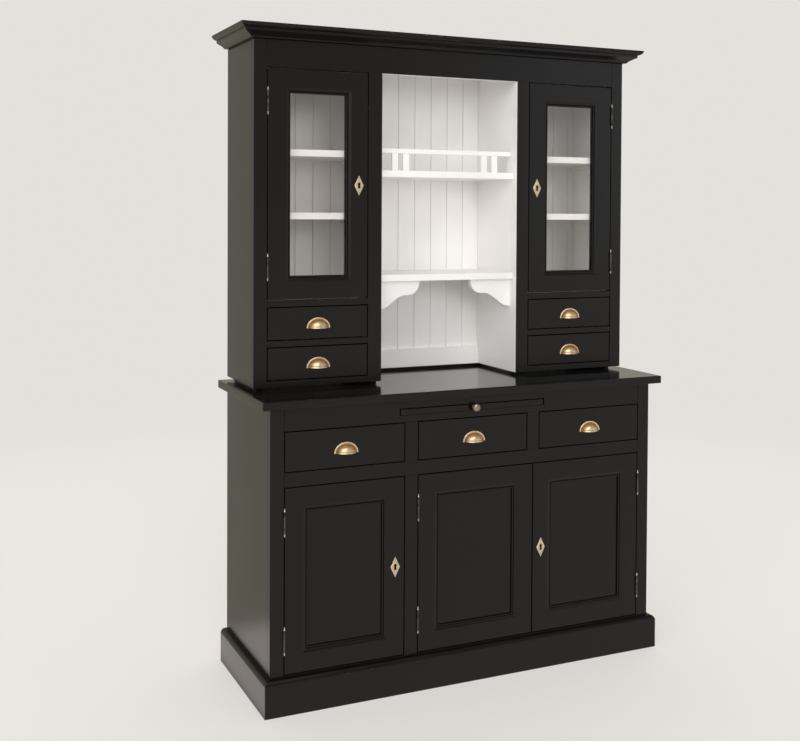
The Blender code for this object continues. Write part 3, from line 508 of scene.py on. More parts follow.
def smooth_line(knots, steps):
    """A smooth curve: between two knots, the cubic that passes each along the chord of its neighbours."""
    knots = np.asarray(knots, float)
    slope = np.gradient(knots, axis=0)
    share = np.linspace(0.0, 1.0, steps, endpoint=False)[None, :, None]
    first, last = knots[:-1, None], knots[1:, None]
    leave, arrive = slope[:-1, None], slope[1:, None]
    curve = (
        first * (2 * share**3 - 3 * share**2 + 1) + leave * (share**3 - 2 * share**2 + share)
        + last * (3 * share**2 - 2 * share**3) + arrive * (share**3 - share**2)
    )
    return np.concatenate([curve.reshape(-1, knots.shape[1]), knots[-1:]])


def quarter_round(centre, radius_across, radius_up, start, end, steps):
    """Points of an oval arc from start to end degrees about its centre."""
    turn = np.radians(np.linspace(start, end, steps))
    return [(centre[0] + radius_across * math.cos(a), centre[1] + radius_up * math.sin(a)) for a in turn]


def add_mitred(shape, path, section, up, finish=0, edge=0.0):
    """A moulding cut to lengths that meet in mitres.

    Point (across, rise) of the section lies at corner + across * outward + rise * up, and each length runs
    from one corner of the path to the next, with the grain along it.
    """
    corners, outward = path
    section = np.asarray(section, float)
    rings = corners[:, None] + section[None, :, :1] * outward[:, None] + section[None, :, 1:] * np.array(up)
    for first, second in zip(rings[:-1], rings[1:]):
        run = second[0] - first[0]
        add_sweep(shape, np.stack([first, second]), finish, edge, run / np.linalg.norm(run))


def case_path(face_y, z):
    """The way round the case from the back by its left, front and right sides, and outwards at each corner."""
    outward = np.array([(-1, 0, 0), (-1, -1, 0), (1, -1, 0), (1, 0, 0)], float)
    corners = np.array([(x * HALF_CASE, face_y if y < 0 else REAR_Y, z) for x, y, _ in outward])
    return corners, outward


def frame_path(start, end, y):
    """Once round a rectangle in X and Z, back to its first corner, with the way outwards at each corner."""
    outward = np.array([(-1, 0, -1), (1, 0, -1), (1, 0, 1), (-1, 0, 1), (-1, 0, -1)], float)
    corners = np.where(outward < 0.0, start, end)
    corners[:, 1] = y
    return corners, outward


def add_turned(shape, profile, foot, axis, steps, finish=0, edge=1.0):
    """A turned part: profile point (r, h) runs round the axis at foot + h * axis + r * (cos t, sin t)."""
    profile = np.asarray(profile, float)
    across = np.array(Vector(axis).orthogonal().normalized())
    other = np.cross(axis, across)
    turn = np.linspace(0.0, 2.0 * np.pi, steps, endpoint=False)[None, :, None]
    rings = (
        np.asarray(foot, float) + profile[:, None, 1:] * np.array(axis)
        + profile[:, None, :1] * (np.cos(turn) * across + np.sin(turn) * other)
    )
    add_sweep(shape, rings, finish, np.reshape(edge, (-1, 1)), axis, weld=True)


def add_plate(shape, outline, front_y, back_y, rounding):
    """A sawn shape with rounded arrises: its outline, drawn in by up to the rounding towards both faces."""
    ahead, behind = np.roll(outline, -1, axis=0), np.roll(outline, 1, axis=0)
    run = ahead - behind
    run /= np.linalg.norm(run, axis=1)[:, None]
    area = np.sum(outline[:, 0] * ahead[:, 1] - ahead[:, 0] * outline[:, 1])
    inward = np.stack([-run[:, 1], run[:, 0]], axis=1) * np.sign(area)
    steps = ((1.0, 0.0), (0.3, 0.3), (0.0, 1.0))
    sections = [(drawn, front_y + deep * rounding) for drawn, deep in steps]
    sections += [(drawn, back_y - deep * rounding) for drawn, deep in reversed(steps)]
    rings = np.stack([np.insert(outline + drawn * rounding * inward, 1, y, axis=1) for drawn, y in sections])
    wear_and_highlight = np.array([0.0, 1.0, 0.0, 0.0, 1.0, 0.0])[:, None]
    add_sweep(shape, rings, 0, wear_and_highlight, RIGHT)


# Cornice, plinth and worktop

def make_cornice():
    """From the soffit up: an ogee, a fillet, and a quarter round under the top edge."""
    reach = high("cornice")[0] - HALF_CASE
    rise = high("cornice")[2] - HUTCH_TOP
    over_case = 0.38
    ogee = smooth_line([(0.21, 0.0), (0.26, 0.09), (0.36, 0.19), (0.50, 0.29), (0.66, 0.40)], 4)
    swell = smooth_line([(0.79, 0.64), (0.87, 0.70), (0.94, 0.79), (0.985, 0.89)], 4)
    shares = [(-over_case, 0.0), (0.20, 0.0), *ogee, (0.70, 0.42), (0.70, 0.615), (0.71, 0.63), *swell,
              (1.0, 0.94), (1.0, 0.985), (0.985, 1.0), (-over_case, 1.0)]
    wear_and_highlight = np.zeros(len(shares))
    wear_and_highlight[-6:-1] = 1.0                  # wear and painted highlight round the top edge
    inset = over_case * reach - GLUE_GAP
    shape = Shape()
    add_mitred(shape, case_path(HUTCH_FACE_Y, HUTCH_TOP), np.multiply(shares, (reach, rise)), UP, edge=wear_and_highlight)
    half = HALF_CASE - inset
    height = (HUTCH_TOP, HUTCH_TOP + rise - 0.006)
    add_box(shape, (-half, half), (HUTCH_FACE_Y + inset, REAR_Y), height, sides={"-z": 1})
    make_piece("cornice_moulding", shape, [BLACK, WHITE], ["cornice"])


def make_plinth():
    """Board whose upper arris is rounded over above a fine edge, mitred at the front corners."""
    reach = high("plinth")[0] - HALF_CASE
    top = high("plinth")[2]
    fall, start = 0.012, 35
    sloped = math.radians(start)
    wide, tall = fall / math.cos(sloped), fall / (1.0 - math.sin(sloped))
    arc = quarter_round((reach - 0.0003 - fall, top - tall), wide, tall, start, 90, 9)
    section = [
        (GLUE_GAP, 0.0), (reach - 0.0008, 0.0), (reach, 0.0008), (reach, top - fall - 0.0040),
        (reach, top - fall - 0.0006), *arc, (GLUE_GAP, top),
    ]
    wear_and_highlight = np.zeros(len(section))
    wear_and_highlight[4:6] = 0.8                    # wear and painted highlight along the fine edge
    shape = Shape()
    add_mitred(shape, case_path(BASE_FACE_Y, 0.0), section, UP, edge=wear_and_highlight)
    make_piece("plinth_boards", shape, [BLACK], ["plinth"])


def make_worktop():
    """One board with a rounded arris all round, and the battens of the pull-out board under it."""
    start, end = span("worktop")
    bottom = end[2] - TOP_BOARD
    shape = Shape()
    add_board(shape, (start[0], start[1], bottom), end, 0.003, sides={"-x+x-y+y-z": 1})
    batten_depth = (BASE_FRAME_BACK_Y + GLUE_GAP, INNER_BACK_Y)
    for side in (-1, 1):
        add_box(shape, around(side * DRAWER_POST_X, 0.012), batten_depth, (start[2], bottom + 0.001))
    make_piece("worktop_board", shape, [BLACK_TOP, BLACK], ["worktop"])


# Case boards

def make_board_for(node, finishes, sides=None, body="case", rounding=ARRIS):
    """A rounded board in the place of a plain CAD board."""
    shape = Shape()
    add_board(shape, *span(node), rounding, sides=sides)
    make_piece(node + "_board", shape, finishes, [node], body)


def make_case_boards():
    for part in ("base", "hutch"):
        make_board_for(part + "_side_left", [BLACK, WHITE], {"+x": 1})
        make_board_for(part + "_side_right", [BLACK, WHITE], {"-x": 1})
    for node in ("base_floor", "base_partition", "base_shelf_left", "base_shelf_right"):
        make_board_for(node, [WHITE])


def make_drawer_deck():
    """Deck under the base drawers with two guides between them."""
    start, end = span("drawer_deck")
    deck_top = start[2] + CASE_BOARD
    depth, height = (start[1], end[1]), (deck_top, end[2])
    shape = Shape()
    add_board(shape, start, (end[0], end[1], deck_top))
    for side in (-1, 1):
        add_box(shape, around(side * DRAWER_POST_X, CASE_BOARD / 2), depth, height, grain=REARWARD)
    make_piece("drawer_deck_boards", shape, [PINE], ["drawer_deck"])


def add_planks(shape, bottom, top):
    """Upright matched boards: V-shaped arrises in front, fine ones behind, and three screws in each."""
    number = np.arange(-30, 31)
    joints = PLANK_JOINT + PLANK_WIDTH * number
    joints = joints[np.abs(joints) < CASE_INSIDE - 0.005]
    edges = np.concatenate([[-CASE_INSIDE], joints, [CASE_INSIDE]])
    corner = (
        (0.0015, PLANK_FACE_Y), (0.0002, PLANK_FACE_Y + 0.0018),
        (0.0002, PLANK_REAR_Y - 0.0020), (0.0018, PLANK_REAR_Y),
    )
    bare_behind = [0, 0, 0, 1, 1, 1, 0, 0, 0, 0]
    for left, right in zip(edges[:-1], edges[1:]):
        left_side = [(left + inwards, y) for inwards, y in corner]
        right_side = [(right - inwards, y) for inwards, y in corner]
        section = np.array(left_side[:1] + right_side + left_side[:0:-1])
        add_sweep(shape, np.stack([np.insert(section, 2, z, axis=1) for z in (bottom, top)]), bare_behind)
    middles = PLANK_JOINT + PLANK_WIDTH * (number + 0.5)
    middles = middles[np.abs(middles) < CASE_INSIDE - 0.01]
    for z in (bottom + 0.012, (bottom + top) / 2, top - 0.012):
        for x in middles:
            add_turned(shape, BACK_SCREW, (x, PLANK_REAR_Y, z), REARWARD, 10, finish=2)


def make_backs():
    """Both backs, screwed on from behind. The niche has a skirting, and under it a black foot rail that is
    painted shade in the gap under the back.
    """
    finishes = [WHITE, BACK_PINE, STEEL, BLACK]
    planks = Shape()
    add_planks(planks, FEET_TOP, high("hutch_back")[2])
    half = NICHE_HALF - GLUE_GAP
    depth = (low("hutch_back")[1], PLANK_FACE_Y)
    add_box(planks, (-half, half), depth, (FEET_TOP, FEET_TOP + SKIRTING), joints={"+y": 0.0})
    # black foot rail: painted shade in the gap under the niche's back
    add_box(planks, (-half - 0.012, half + 0.012), (INNER_BACK_Y, REAR_Y - 0.003), FEET_HEIGHT, finish=3)
    make_piece("hutch_planks", planks, finishes, ["hutch_back"])
    planks = Shape()
    add_planks(planks, low("base_back")[2], high("base_back")[2])
    make_piece("base_planks", planks, finishes, ["base_back"])


# Face frames

def make_base_frame():
    """Stiles from floor to worktop, rails between them, and the top rail cut out for the pull-out board."""
    top = high("base_face_frame")[2]
    rail_end = FRAME_INSIDE - JOINT
    above_drawers = BASE_DRAWER[3]
    slot = (-SLOT_HALF, SLOT_HALF)
    shape = Shape()

    def member(x, z, joints, dark, grain=None):
        add_box(shape, x, (BASE_FACE_Y, BASE_FRAME_BACK_Y), z, joints=joints, sides={dark: 1}, grain=grain)

    # faces named in dark get the darker, matter black: painted shade in the gaps
    for side, _, inner in FLANKS:
        member((side * HALF_CASE, side * FRAME_INSIDE), (0.0, top), {inner: TIGHT_ARRIS}, inner)
    for z in ((0.0, BASE_DOOR[2]), (BASE_DOOR[3], BASE_DRAWER[2])):
        member((-rail_end, rail_end), z, {"-x+x": TIGHT_ARRIS}, "-x+x-z+z")
    member((BASE_DOOR[1], BASE_MIDDLE_DOOR[0]), BASE_DOOR[2:], {"-z+z": 0.0}, "-x+x")
    for side, outer, _ in FLANKS:
        member(around(side * DRAWER_POST_X, STILE / 2), BASE_DRAWER[2:], {"-z+z": 0.0}, "-x+x", UP)
        joints = {"-x+x+z": 0.0, outer: TIGHT_ARRIS}
        member((side * rail_end, side * SLOT_HALF), (above_drawers, top), joints, "-x+x-z", RIGHT)
    member(slot, (above_drawers, SLOT_LOW), {"-x+x": 0.0, "+z": TIGHT_ARRIS}, "-z+z")
    member(slot, (SLOT_HIGH, top), {"-x+x+z": 0.0, "-z": TIGHT_ARRIS}, "-z")
    make_piece("base_frame_members", shape, [BLACK, GAP_SHADE_BLACK], ["base_face_frame"])


def make_hutch_frame():
    """Outer stiles to the full height, niche stiles up to the frieze; towards the niche all is white."""
    bottom, top = low("hutch_face_frame")[2], high("hutch_face_frame")[2]
    head = HUTCH_DOOR[3]
    rail_end = FRAME_INSIDE - JOINT
    rails = ((bottom, LOWER_DRAWER[2]), (LOWER_DRAWER[3], UPPER_DRAWER[2]), (UPPER_DRAWER[3], HUTCH_DOOR[2]))
    shape = Shape()

    def member(x, z, joints, sides, grain=None):
        add_box(shape, x, (HUTCH_FACE_Y, HUTCH_FRAME_BACK_Y), z, joints=joints, sides=sides, grain=grain)

    # finish 2, the darker, matter black on faces towards the gaps, is painted shade
    for side, outer, inner in FLANKS:
        joints = {outer: TIGHT_ARRIS, inner: 0.0}
        member((side * HALF_CASE, side * FRAME_INSIDE), (bottom, top), {inner: TIGHT_ARRIS}, {inner: 2})
        member((side * NICHE_OUTSIDE, side * NICHE_HALF), (bottom, head), {"+z": 0.0}, {inner: 1, outer: 2})
        for z in rails:
            member((side * rail_end, side * NICHE_OUTSIDE), z, joints, {outer + "-z+z": 2})
        member((side * rail_end, side * NICHE_HALF), (head, top), joints, {outer + "-z": 2}, RIGHT)
    member((-NICHE_HALF, NICHE_HALF), (head, top), {"-x+x": 0.0}, {"-z": 1})
    make_piece("hutch_frame_members", shape, [BLACK, WHITE, GAP_SHADE_BLACK], ["hutch_face_frame"])


# Inside of the hutch

def make_hutch_cupboard(side, word):
    """Upright beside the niche, boards over and under the drawers, shelves on cleats, and dark feet."""
    depth = (HUTCH_FRAME_BACK_Y + GLUE_GAP, INNER_BACK_Y)
    shelf_front = HUTCH_FRAME_BACK_Y + 0.005
    near = NICHE_HALF + CASE_BOARD
    width = (side * near, side * CASE_INSIDE)
    shape = Shape()
    add_box(shape, (side * NICHE_HALF, side * near), depth, (FEET_TOP, HUTCH_TOP - GLUE_GAP), grain=UP)
    for top in (LOWER_DRAWER[2], UPPER_DRAWER[2], HUTCH_DOOR[2]):
        add_box(shape, width, depth, (top - RUNNER_BOARD, top), grain=RIGHT)
    for z in SIDE_SHELVES:
        add_box(shape, width, (shelf_front, INNER_BACK_Y), (z, z + SHELF_BOARD), grain=RIGHT)
        cleat_depth = (shelf_front + 0.012, INNER_BACK_Y)
        for start, end in ((near, near + CLEAT), (CASE_INSIDE, CASE_INSIDE - CLEAT)):
            add_box(shape, (side * start, side * end), cleat_depth, (z - 0.016, z - GLUE_GAP))
    feet_depth = (HUTCH_FRAME_BACK_Y + 0.018, INNER_BACK_Y)
    for foot in (NICHE_HALF, CASE_INSIDE - FOOT):
        add_box(shape, (side * foot, side * (foot + FOOT)), feet_depth, FEET_HEIGHT, finish=1)
    make_piece("hutch_cupboard_" + word, shape, [WHITE, BLACK], ["hutch_partition_" + word])


def make_gallery_shelf():
    """Upper niche shelf, and on it a low rail on two pairs of flat balusters."""
    start, end = span("niche_shelf_upper")
    shelf_top = start[2] + SHELF_BOARD
    rail_bottom = end[2] - 0.016
    shape = Shape()
    add_board(shape, start, (end[0], end[1], shelf_top))
    rail_depth = (TRIM_FRONT_Y, TRIM_FRONT_Y + 0.014)
    baluster_depth = (TRIM_FRONT_Y + 0.001, TRIM_FRONT_Y + 0.013)
    add_box(shape, (start[0], end[0]), rail_depth, (rail_bottom, end[2]), rounding=0.0015)
    for side in (-1, 1):
        for from_side in (0.0655, 0.106):
            width = around(side * (NICHE_HALF - from_side), 0.011)
            add_box(shape, width, baluster_depth, (shelf_top, rail_bottom), joints={"-z+z": 0.0})
    make_piece("gallery_shelf", shape, [WHITE], ["niche_shelf_upper"])


def bracket_outline(side, shelf_bottom, foot):
    """Round lobe at the free end, level run, then an ogee that ends in a short toe at the niche's side.

    The lobe is a quarter of an oval; the ogee falls by 3 s^2 - 2 s^3 of its drop at the share s of its length.
    """
    flush = NICHE_HALF - GLUE_GAP
    free = NICHE_HALF - 0.158
    lobe_bottom = shelf_bottom - 0.048
    ogee_start = free + 0.056
    lobe = quarter_round((free + 0.040, shelf_bottom), 0.040, 0.048, 180, 270, 12)
    share = np.linspace(0.0, 1.0, 18)
    fall = share**2 * (3 - 2 * share)
    ogee_x = ogee_start + (flush - 0.010 - ogee_start) * share
    ogee_z = lobe_bottom - (lobe_bottom - foot) * fall
    return np.array([(flush, shelf_bottom), *lobe, *zip(ogee_x, ogee_z), (flush, foot)]) * (side, 1.0)


def make_bracket_shelf():
    """Lower niche shelf with a sawn arch bracket under each end."""
    start, end = span("niche_shelf_lower")
    bottom = end[2] - SHELF_BOARD
    shape = Shape()
    add_board(shape, (start[0], start[1], bottom), end)
    for side in (-1, 1):
        outline = bracket_outline(side, bottom - GLUE_GAP, start[2])
        add_plate(shape, outline, TRIM_FRONT_Y, TRIM_FRONT_Y + 0.018, 0.0012)
    make_piece("bracket_shelf", shape, [WHITE], ["niche_shelf_lower"])


# Doors

def door_moulding(infill_front, infill_back):
    """Section of the moulded inner edge with the groove that holds a panel or a pane.

    Across is measured outwards from the sight edge, depth backwards from the door's face: a hollow slope, a
    quirk, a small bead and an upright sight edge.
    """
    slope = smooth_line([(MOULDING - 0.0006, 0.0005), (0.0128, 0.0019), (0.0100, 0.0034), (0.0074, 0.0038)], 4)
    bead = quarter_round((0.0019, 0.0050), 0.0018, 0.0018, 300, 180, 7)
    quirk = [(0.0066, 0.0032), (0.0060, 0.0066), (0.0046, 0.0066), (0.0040, 0.0036)]
    return [
        (MOULDING, 0.0003), *slope, *quirk, *bead,
        (0.0001, infill_front - 0.0012), (0.0014, infill_front - 0.0010), (0.0014, infill_front),
        (GROOVE, infill_front), (GROOVE, infill_back), (0.0, infill_back),
        (0.0, FACE_THICKNESS - 0.0008), (0.0008, FACE_THICKNESS), (MOULDING, FACE_THICKNESS),
    ]


def make_door(name, infill):
    """Two stiles and two rails flush at their joints, with the moulding mitred round the panel or pane."""
    node = name + "_frame"
    infill_node = name + "_" + infill
    start, end = span(node)
    front, depth = start[1], (start[1], end[1])
    planed_start, planed_end = start + EASE, end - EASE
    inside_start, inside_end = start + DOOR_RAIL, end - DOOR_RAIL
    ends = ((planed_start, inside_start, "-", "+"), (planed_end, inside_end, "+", "-"))
    shape = Shape()
    # the outer edges of the stiles and rails get the darker, matter black: painted shade in the gap round the
    # door
    for edge, inside, outer, inner in ends:
        add_box(
            shape, (edge[0], inside[0]), depth, (planed_start[2], planed_end[2]),
            joints={inner + "x": 0.0}, sides={outer + "x-z+z": 1},
        )
    for edge, inside, outer, inner in ends:
        add_box(
            shape, (inside_start[0], inside_end[0]), depth, (edge[2], inside[2]),
            joints={"-x+x" + inner + "z": 0.0}, sides={outer + "z": 1}, grain=RIGHT,
        )
    section = door_moulding(low(infill_node)[1] - front - GLUE_GAP, high(infill_node)[1] - front + GLUE_GAP)
    wear_and_highlight = np.zeros(len(section))
    wear_and_highlight[19:23] = 0.6                  # wear and painted highlight on the crown of the bead
    dark = np.zeros(len(section) + 2, int)
    dark[[14, 15, 16, 24]] = 1         # painted shade: the darker, matter black in the quirk and on the sight edge
    margin = DOOR_RAIL + MOULDING
    sight_edge = frame_path(start + margin, end - margin, front)
    add_mitred(shape, sight_edge, section, REARWARD, dark, wear_and_highlight)
    make_piece(name + "_joinery", shape, [BLACK, GAP_SHADE_BLACK], [node], name)
    if infill == "panel":
        make_board_for(infill_node, [BLACK], body=name, rounding=0.0004)
    else:
        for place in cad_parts[infill_node].material_slots:
            place.material = GLASS


# Ironmongery

def add_shell_pull(shape, x, face_y, bottom):
    """Shell pull: a flange with a raised bead, a groove, and a quarter of an oval dome that is hollow below.

    Section point (w, h, d) runs from foot to foot as x = w cos t, z = h sin t, at the depth d before the face.
    Near its lower edge the dome swells by a bell curve of its height, which makes the rolled lip, and over the
    lip the brass stays dull.
    """
    flange = np.array([
        (0.0400, 0.0340, 0.0), (0.0400, 0.0340, 0.0012), (0.0395, 0.0335, 0.0021), (0.0384, 0.0324, 0.0027),
        (0.0370, 0.0310, 0.0027), (0.0357, 0.0297, 0.0021), (0.0346, 0.0284, 0.0012), (0.0325, 0.0260, 0.0008),
        (0.0300, 0.0233, 0.0009),
    ])
    flange_rub = [0.5, 0.9, 1.0, 1.0, 1.0, 0.8, 0.1, 0.0, 0.0]

    def oval(tilt, wide, tall, foot, deep):
        return np.stack([wide * np.cos(tilt), tall * np.cos(tilt), foot + deep * np.sin(tilt)], axis=1)

    tilt = np.radians(np.linspace(6.0, 90.0, 15))
    dome = oval(tilt, 0.0296, 0.0229, 0.0010, 0.0215)
    hollow = oval(np.radians(np.linspace(90.0, 0.0, 12)), 0.0280, 0.0213, 0.0, 0.0203)
    width, rise, depth = np.concatenate([flange, dome, hollow]).T[:, None]
    on_dome = np.zeros(len(width[0]))
    on_dome[len(flange):len(flange) + len(dome)] = 1.0
    rubbed = np.concatenate([flange_rub, 0.1 + 0.9 * np.sin(tilt) ** 0.8, np.full(len(hollow), 0.15)])
    turn = 0.5 * np.pi * (1.0 - np.cos(np.linspace(0.0, np.pi, 37)))[:, None]
    height = rise * np.sin(turn)
    swell = 1.0 + 0.055 * np.exp(-((height / 0.0021) ** 2)) * on_dome
    across = x + width * np.cos(turn) * swell
    rings = np.stack([across, face_y - GLUE_GAP - depth * swell, bottom + height], axis=-1)
    dark_line = 1.0 - 0.8 * np.exp(-(((height - 0.0046) / 0.0012) ** 2)) * on_dome
    add_sweep(shape, rings, edge=rubbed * dark_line, grain=RIGHT, weld=True)


def keyhole_reach(direction):
    """From the keyhole's middle to its edge: the farthest of a round eye, a round foot and their slot."""
    across, up = direction[:, 0], direction[:, 1]
    reach = np.minimum(0.0034 / np.maximum(np.abs(across), 1e-6), 0.0060 / np.maximum(np.abs(up), 1e-6))
    for height, radius in ((0.0050, 0.0047), (-0.0054, 0.0044)):
        past = radius**2 - (across * height) ** 2
        touched = up * height + np.sqrt(np.maximum(past, 0.0))
        reach = np.maximum(reach, np.where(past > 0.0, touched, 0.0))
    return reach


def make_key_plate(door):
    """Brass lozenge with a bevelled edge, a keyhole, and a pin at the top and the bottom point."""
    node = door + "_key_plate"
    start, end = span(node)
    middle = (start + end) / 2
    half_width, _, half_height = (end - start) / 2
    back, thickness = end[1], 0.0016
    turn = np.radians(np.arange(0.0, 360.0, 5.0))
    direction = np.stack([np.cos(turn), np.sin(turn)], axis=1)
    lozenge = 1.0 / (np.abs(direction[:, 0]) / half_width + np.abs(direction[:, 1]) / half_height)
    hole = keyhole_reach(direction)
    steps = (
        (lozenge, 0.0), (lozenge, 0.0006), (lozenge - 0.0011, 0.0015), (lozenge - 0.0016, thickness),
        (hole + 0.0002, thickness), (hole, 0.0014), (hole, 0.0),
    )
    outlines = [(middle[[0, 2]] + reach[:, None] * direction, back - depth) for reach, depth in steps]
    rings = np.stack([np.insert(outline, 1, y, axis=1) for outline, y in outlines], axis=1)
    shape = Shape()
    add_sweep(shape, rings, edge=(0.6, 0.9, 1.0, 0.75, 0.5, 0.1, 0.0), closed=True)
    for side in (-1, 1):
        foot = (middle[0], back - thickness, middle[2] + side * 0.74 * half_height)
        add_turned(shape, PLATE_PIN, foot, FORWARD, 12, finish=1, edge=0.0)
    # near-black sheet behind the keyhole: painted shade in the hole
    add_box(shape, around(middle[0], 0.005), (back, back + 0.0002), around(middle[2], 0.010), finish=2)
    make_piece(door + "_escutcheon", shape, [PLATE_BRASS, STEEL, SHADE], [node], door)


def make_lock(door):
    """Cased lock screwed to the back of the door's stile, behind the key plate."""
    x, _, z = (low(door + "_key_plate") + high(door + "_key_plate")) / 2
    front = high(door + "_frame")[1]
    back = front + 0.009
    shape = Shape()
    add_box(shape, around(x, 0.022), (front, back), around(z, 0.030), rounding=0.0015)
    for screw_x in around(x, 0.017):
        for screw_z in around(z, 0.025):
            add_turned(shape, LOCK_SCREW, (screw_x, back, screw_z), REARWARD, 12)
    make_piece(door + "_lock", shape, [STEEL], body=door)


def hinge_profile(half):
    """Barrel of five knuckles with a bead in the middle and a small turned finial at each end."""
    upper = [(r, half - drop) for r, drop in FINIAL]
    upper.append((BARREL, half - FINIAL_LENGTH))
    for joint in (0.60 * half, 0.21 * half):
        upper += [(BARREL, joint), (BARREL - 0.0006, joint - 0.0004), (BARREL, joint - 0.0008)]
    upper += [(BARREL, 0.0022), (BARREL + 0.0005, 0.0012), (BARREL + 0.0006, 0.0)]
    return upper + [(r, -h) for r, h in reversed(upper[:-1])]


def make_hinge(door, level, side):
    """Barrel and door leaf turn with the door; the other leaf is fixed to the frame's edge."""
    node = door + "_hinge_" + level
    start, end = span(node)
    half = (end - start)[2] / 2
    z = (end + start)[2] / 2
    height = around(z, LEAF_HALF)
    barrel_y = start[1] + BARREL
    leaf_back = low(door + "_frame")[1] + 0.016
    frame_edge = opening(door + "_frame")[0 if side < 0 else 1]
    door_edge = frame_edge - side * SWING_GAP
    shape = Shape()
    profile = hinge_profile(half)
    rubbed = [1.0 if abs(h) > half - FINIAL_LENGTH else 0.15 for _, h in profile]
    add_turned(shape, profile, (frame_edge - side * SWING_GAP / 2, barrel_y, z), UP, 20, edge=rubbed)
    door_leaf = (door_edge - side * EASE[0], door_edge + side * LEAF)
    add_box(shape, door_leaf, (barrel_y, leaf_back), height, rounding=0.0002)
    make_piece(node + "_barrel", shape, [STEEL], [node], door)
    fixed = Shape()
    leaf_face = frame_edge - side * LEAF
    fixed_leaf = (frame_edge - side * 0.0001, leaf_face)
    add_box(fixed, fixed_leaf, (barrel_y + 0.0036, leaf_back), height, rounding=0.0002)
    for offset in (-0.019, 0.0, 0.019):
        add_turned(fixed, LEAF_SCREW, (leaf_face, leaf_back - 0.006, z + offset), (-side, 0.0, 0.0), 12)
    make_piece(node + "_fixed_leaf", fixed, [STEEL])


def make_all_doors():
    """Each door hangs on its outer side, and all but the middle one of the base have a lock."""
    for name, infill, hinge_side in (
        ("base_door_left", "panel", -1), ("base_door_middle", "panel", -1), ("base_door_right", "panel", 1),
        ("hutch_door_left", "glass", -1), ("hutch_door_right", "glass", 1),
    ):
        make_door(name, infill)
        for level in ("lower", "upper"):
            make_hinge(name, level, hinge_side)
        if name != "base_door_middle":
            make_key_plate(name)
            make_lock(name)


# Drawers and pull-out board

def make_drawer(name, pull):
    """Painted front, and behind it a pine box with its sides, back and bottom."""
    start, end = span(name)
    face_y, back = start[1], end[1]
    front_back = face_y + FACE_THICKNESS
    front_bottom = start[2] - GLUE_GAP + SWING_GAP
    height = (start[2], end[2] + SWING_GAP - 0.018)
    left, right = start[0] + 0.002, end[0] - 0.002
    inside = (left + BOX_BOARD, right - BOX_BOARD)
    box = {"rounding": 0.0008, "finish": 1}
    front_start = (start[0], face_y, front_bottom) + EASE
    front_end = (end[0], front_back, end[2]) - EASE
    shape = Shape()
    # the front's edges get the darker, matter black: painted shade in the gap round it; its back is pine
    add_board(shape, front_start, front_end, sides={"+y": 1, "-x+x-z+z": 2}, grain=RIGHT)
    for width in ((left, inside[0]), (right, inside[1])):
        add_box(shape, width, (front_back, back), height, joints={"-y": 0.0}, **box)
    add_box(shape, inside, (back - BOX_BOARD, back), height, joints={"-x+x": 0.0}, **box)
    bottom = (start[2] + 0.0005, start[2] + 0.008)
    add_box(shape, inside, (front_back, back - BOX_BOARD), bottom, rounding=0.0, finish=1, grain=REARWARD)
    make_piece(name + "_joinery", shape, [BLACK, PINE, GAP_SHADE_BLACK], [name], name)
    shell = Shape()
    pull_low, pull_high = span(pull)
    add_shell_pull(shell, (pull_low + pull_high)[0] / 2, face_y, pull_low[2])
    make_piece(pull + "_shell", shell, [BRASS], [pull], name)


def make_pull_out_board():
    """Board with a front lipping, and a turned knob in its middle."""
    start = low("pull_board") + (0.003, 0.0, 0.0)
    end = high("pull_board") - (0.003, 0.0, 0.0012)
    lipping = start[1] + 0.030
    shape = Shape()
    add_board(shape, start, (end[0], lipping, end[2]), 0.0008, {"+y": 0.0004})
    add_board(shape, (start[0], lipping, start[2]), end, 0.0008, {"-y": 0.0004}, grain=RIGHT)
    make_piece("pull_out_board_boards", shape, [BLACK], ["pull_board"], "pull_out_board")
    knob_low, knob_high = span("pull_board_knob")
    middle = (knob_low + knob_high) / 2
    radius, length = (knob_high - knob_low)[0] / 2, (knob_high - knob_low)[1]
    shares = smooth_line([
        (0.60, 0.0), (0.60, 0.05), (0.45, 0.12), (0.41, 0.22), (0.46, 0.32), (0.70, 0.41), (0.88, 0.51),
        (0.91, 0.65), (0.83, 0.80), (0.63, 0.92), (0.34, 0.985), (0.0, 1.0),
    ], 3)
    profile = [(0.0, 0.0)] + [(max(r, 0.0) * radius, h * length) for r, h in shares]
    rubbed = np.clip(np.array([h / length for _, h in profile]) * 1.3 - 0.1, 0.0, 1.0)
    knob = Shape()
    add_turned(knob, profile, (middle[0], knob_high[1], middle[2]), FORWARD, 32, edge=rubbed)
    make_piece("pull_out_board_knob", knob, [KNOB_BRASS], ["pull_board_knob"], "pull_out_board")


def make_all_drawers():
    for word in ("left", "middle", "right"):
        make_drawer("base_drawer_" + word, "base_pull_" + word)
    for word in ("left", "right"):
        for level in ("lower", "upper"):
            make_drawer("hutch_drawer_%s_%s" % (word, level), "hutch_pull_%s_%s" % (word, level))


# Floor, light and camera

PALE = (0.775, 0.750, 0.722)
AMBIENT = (0.20, 0.196, 0.192)
GLOSS_BEHIND = (0.46, 0.425, 0.345)
GLOSS_BEFORE = (0.26, 0.245, 0.235)
GLOSS_RIGHT = (0.80, 0.82, 0.86)
GLOSS_LEFT = (0.80, 0.79, 0.78)
GLOSS_ABOVE = (0.10, 0.095, 0.09)
FLOOR_BEFORE = (0.46, 0.44, 0.43)
FLOOR_LEFT = (1.0, 0.90, 0.86)
FLOOR_NEAR = (0.90, 0.865, 0.83)


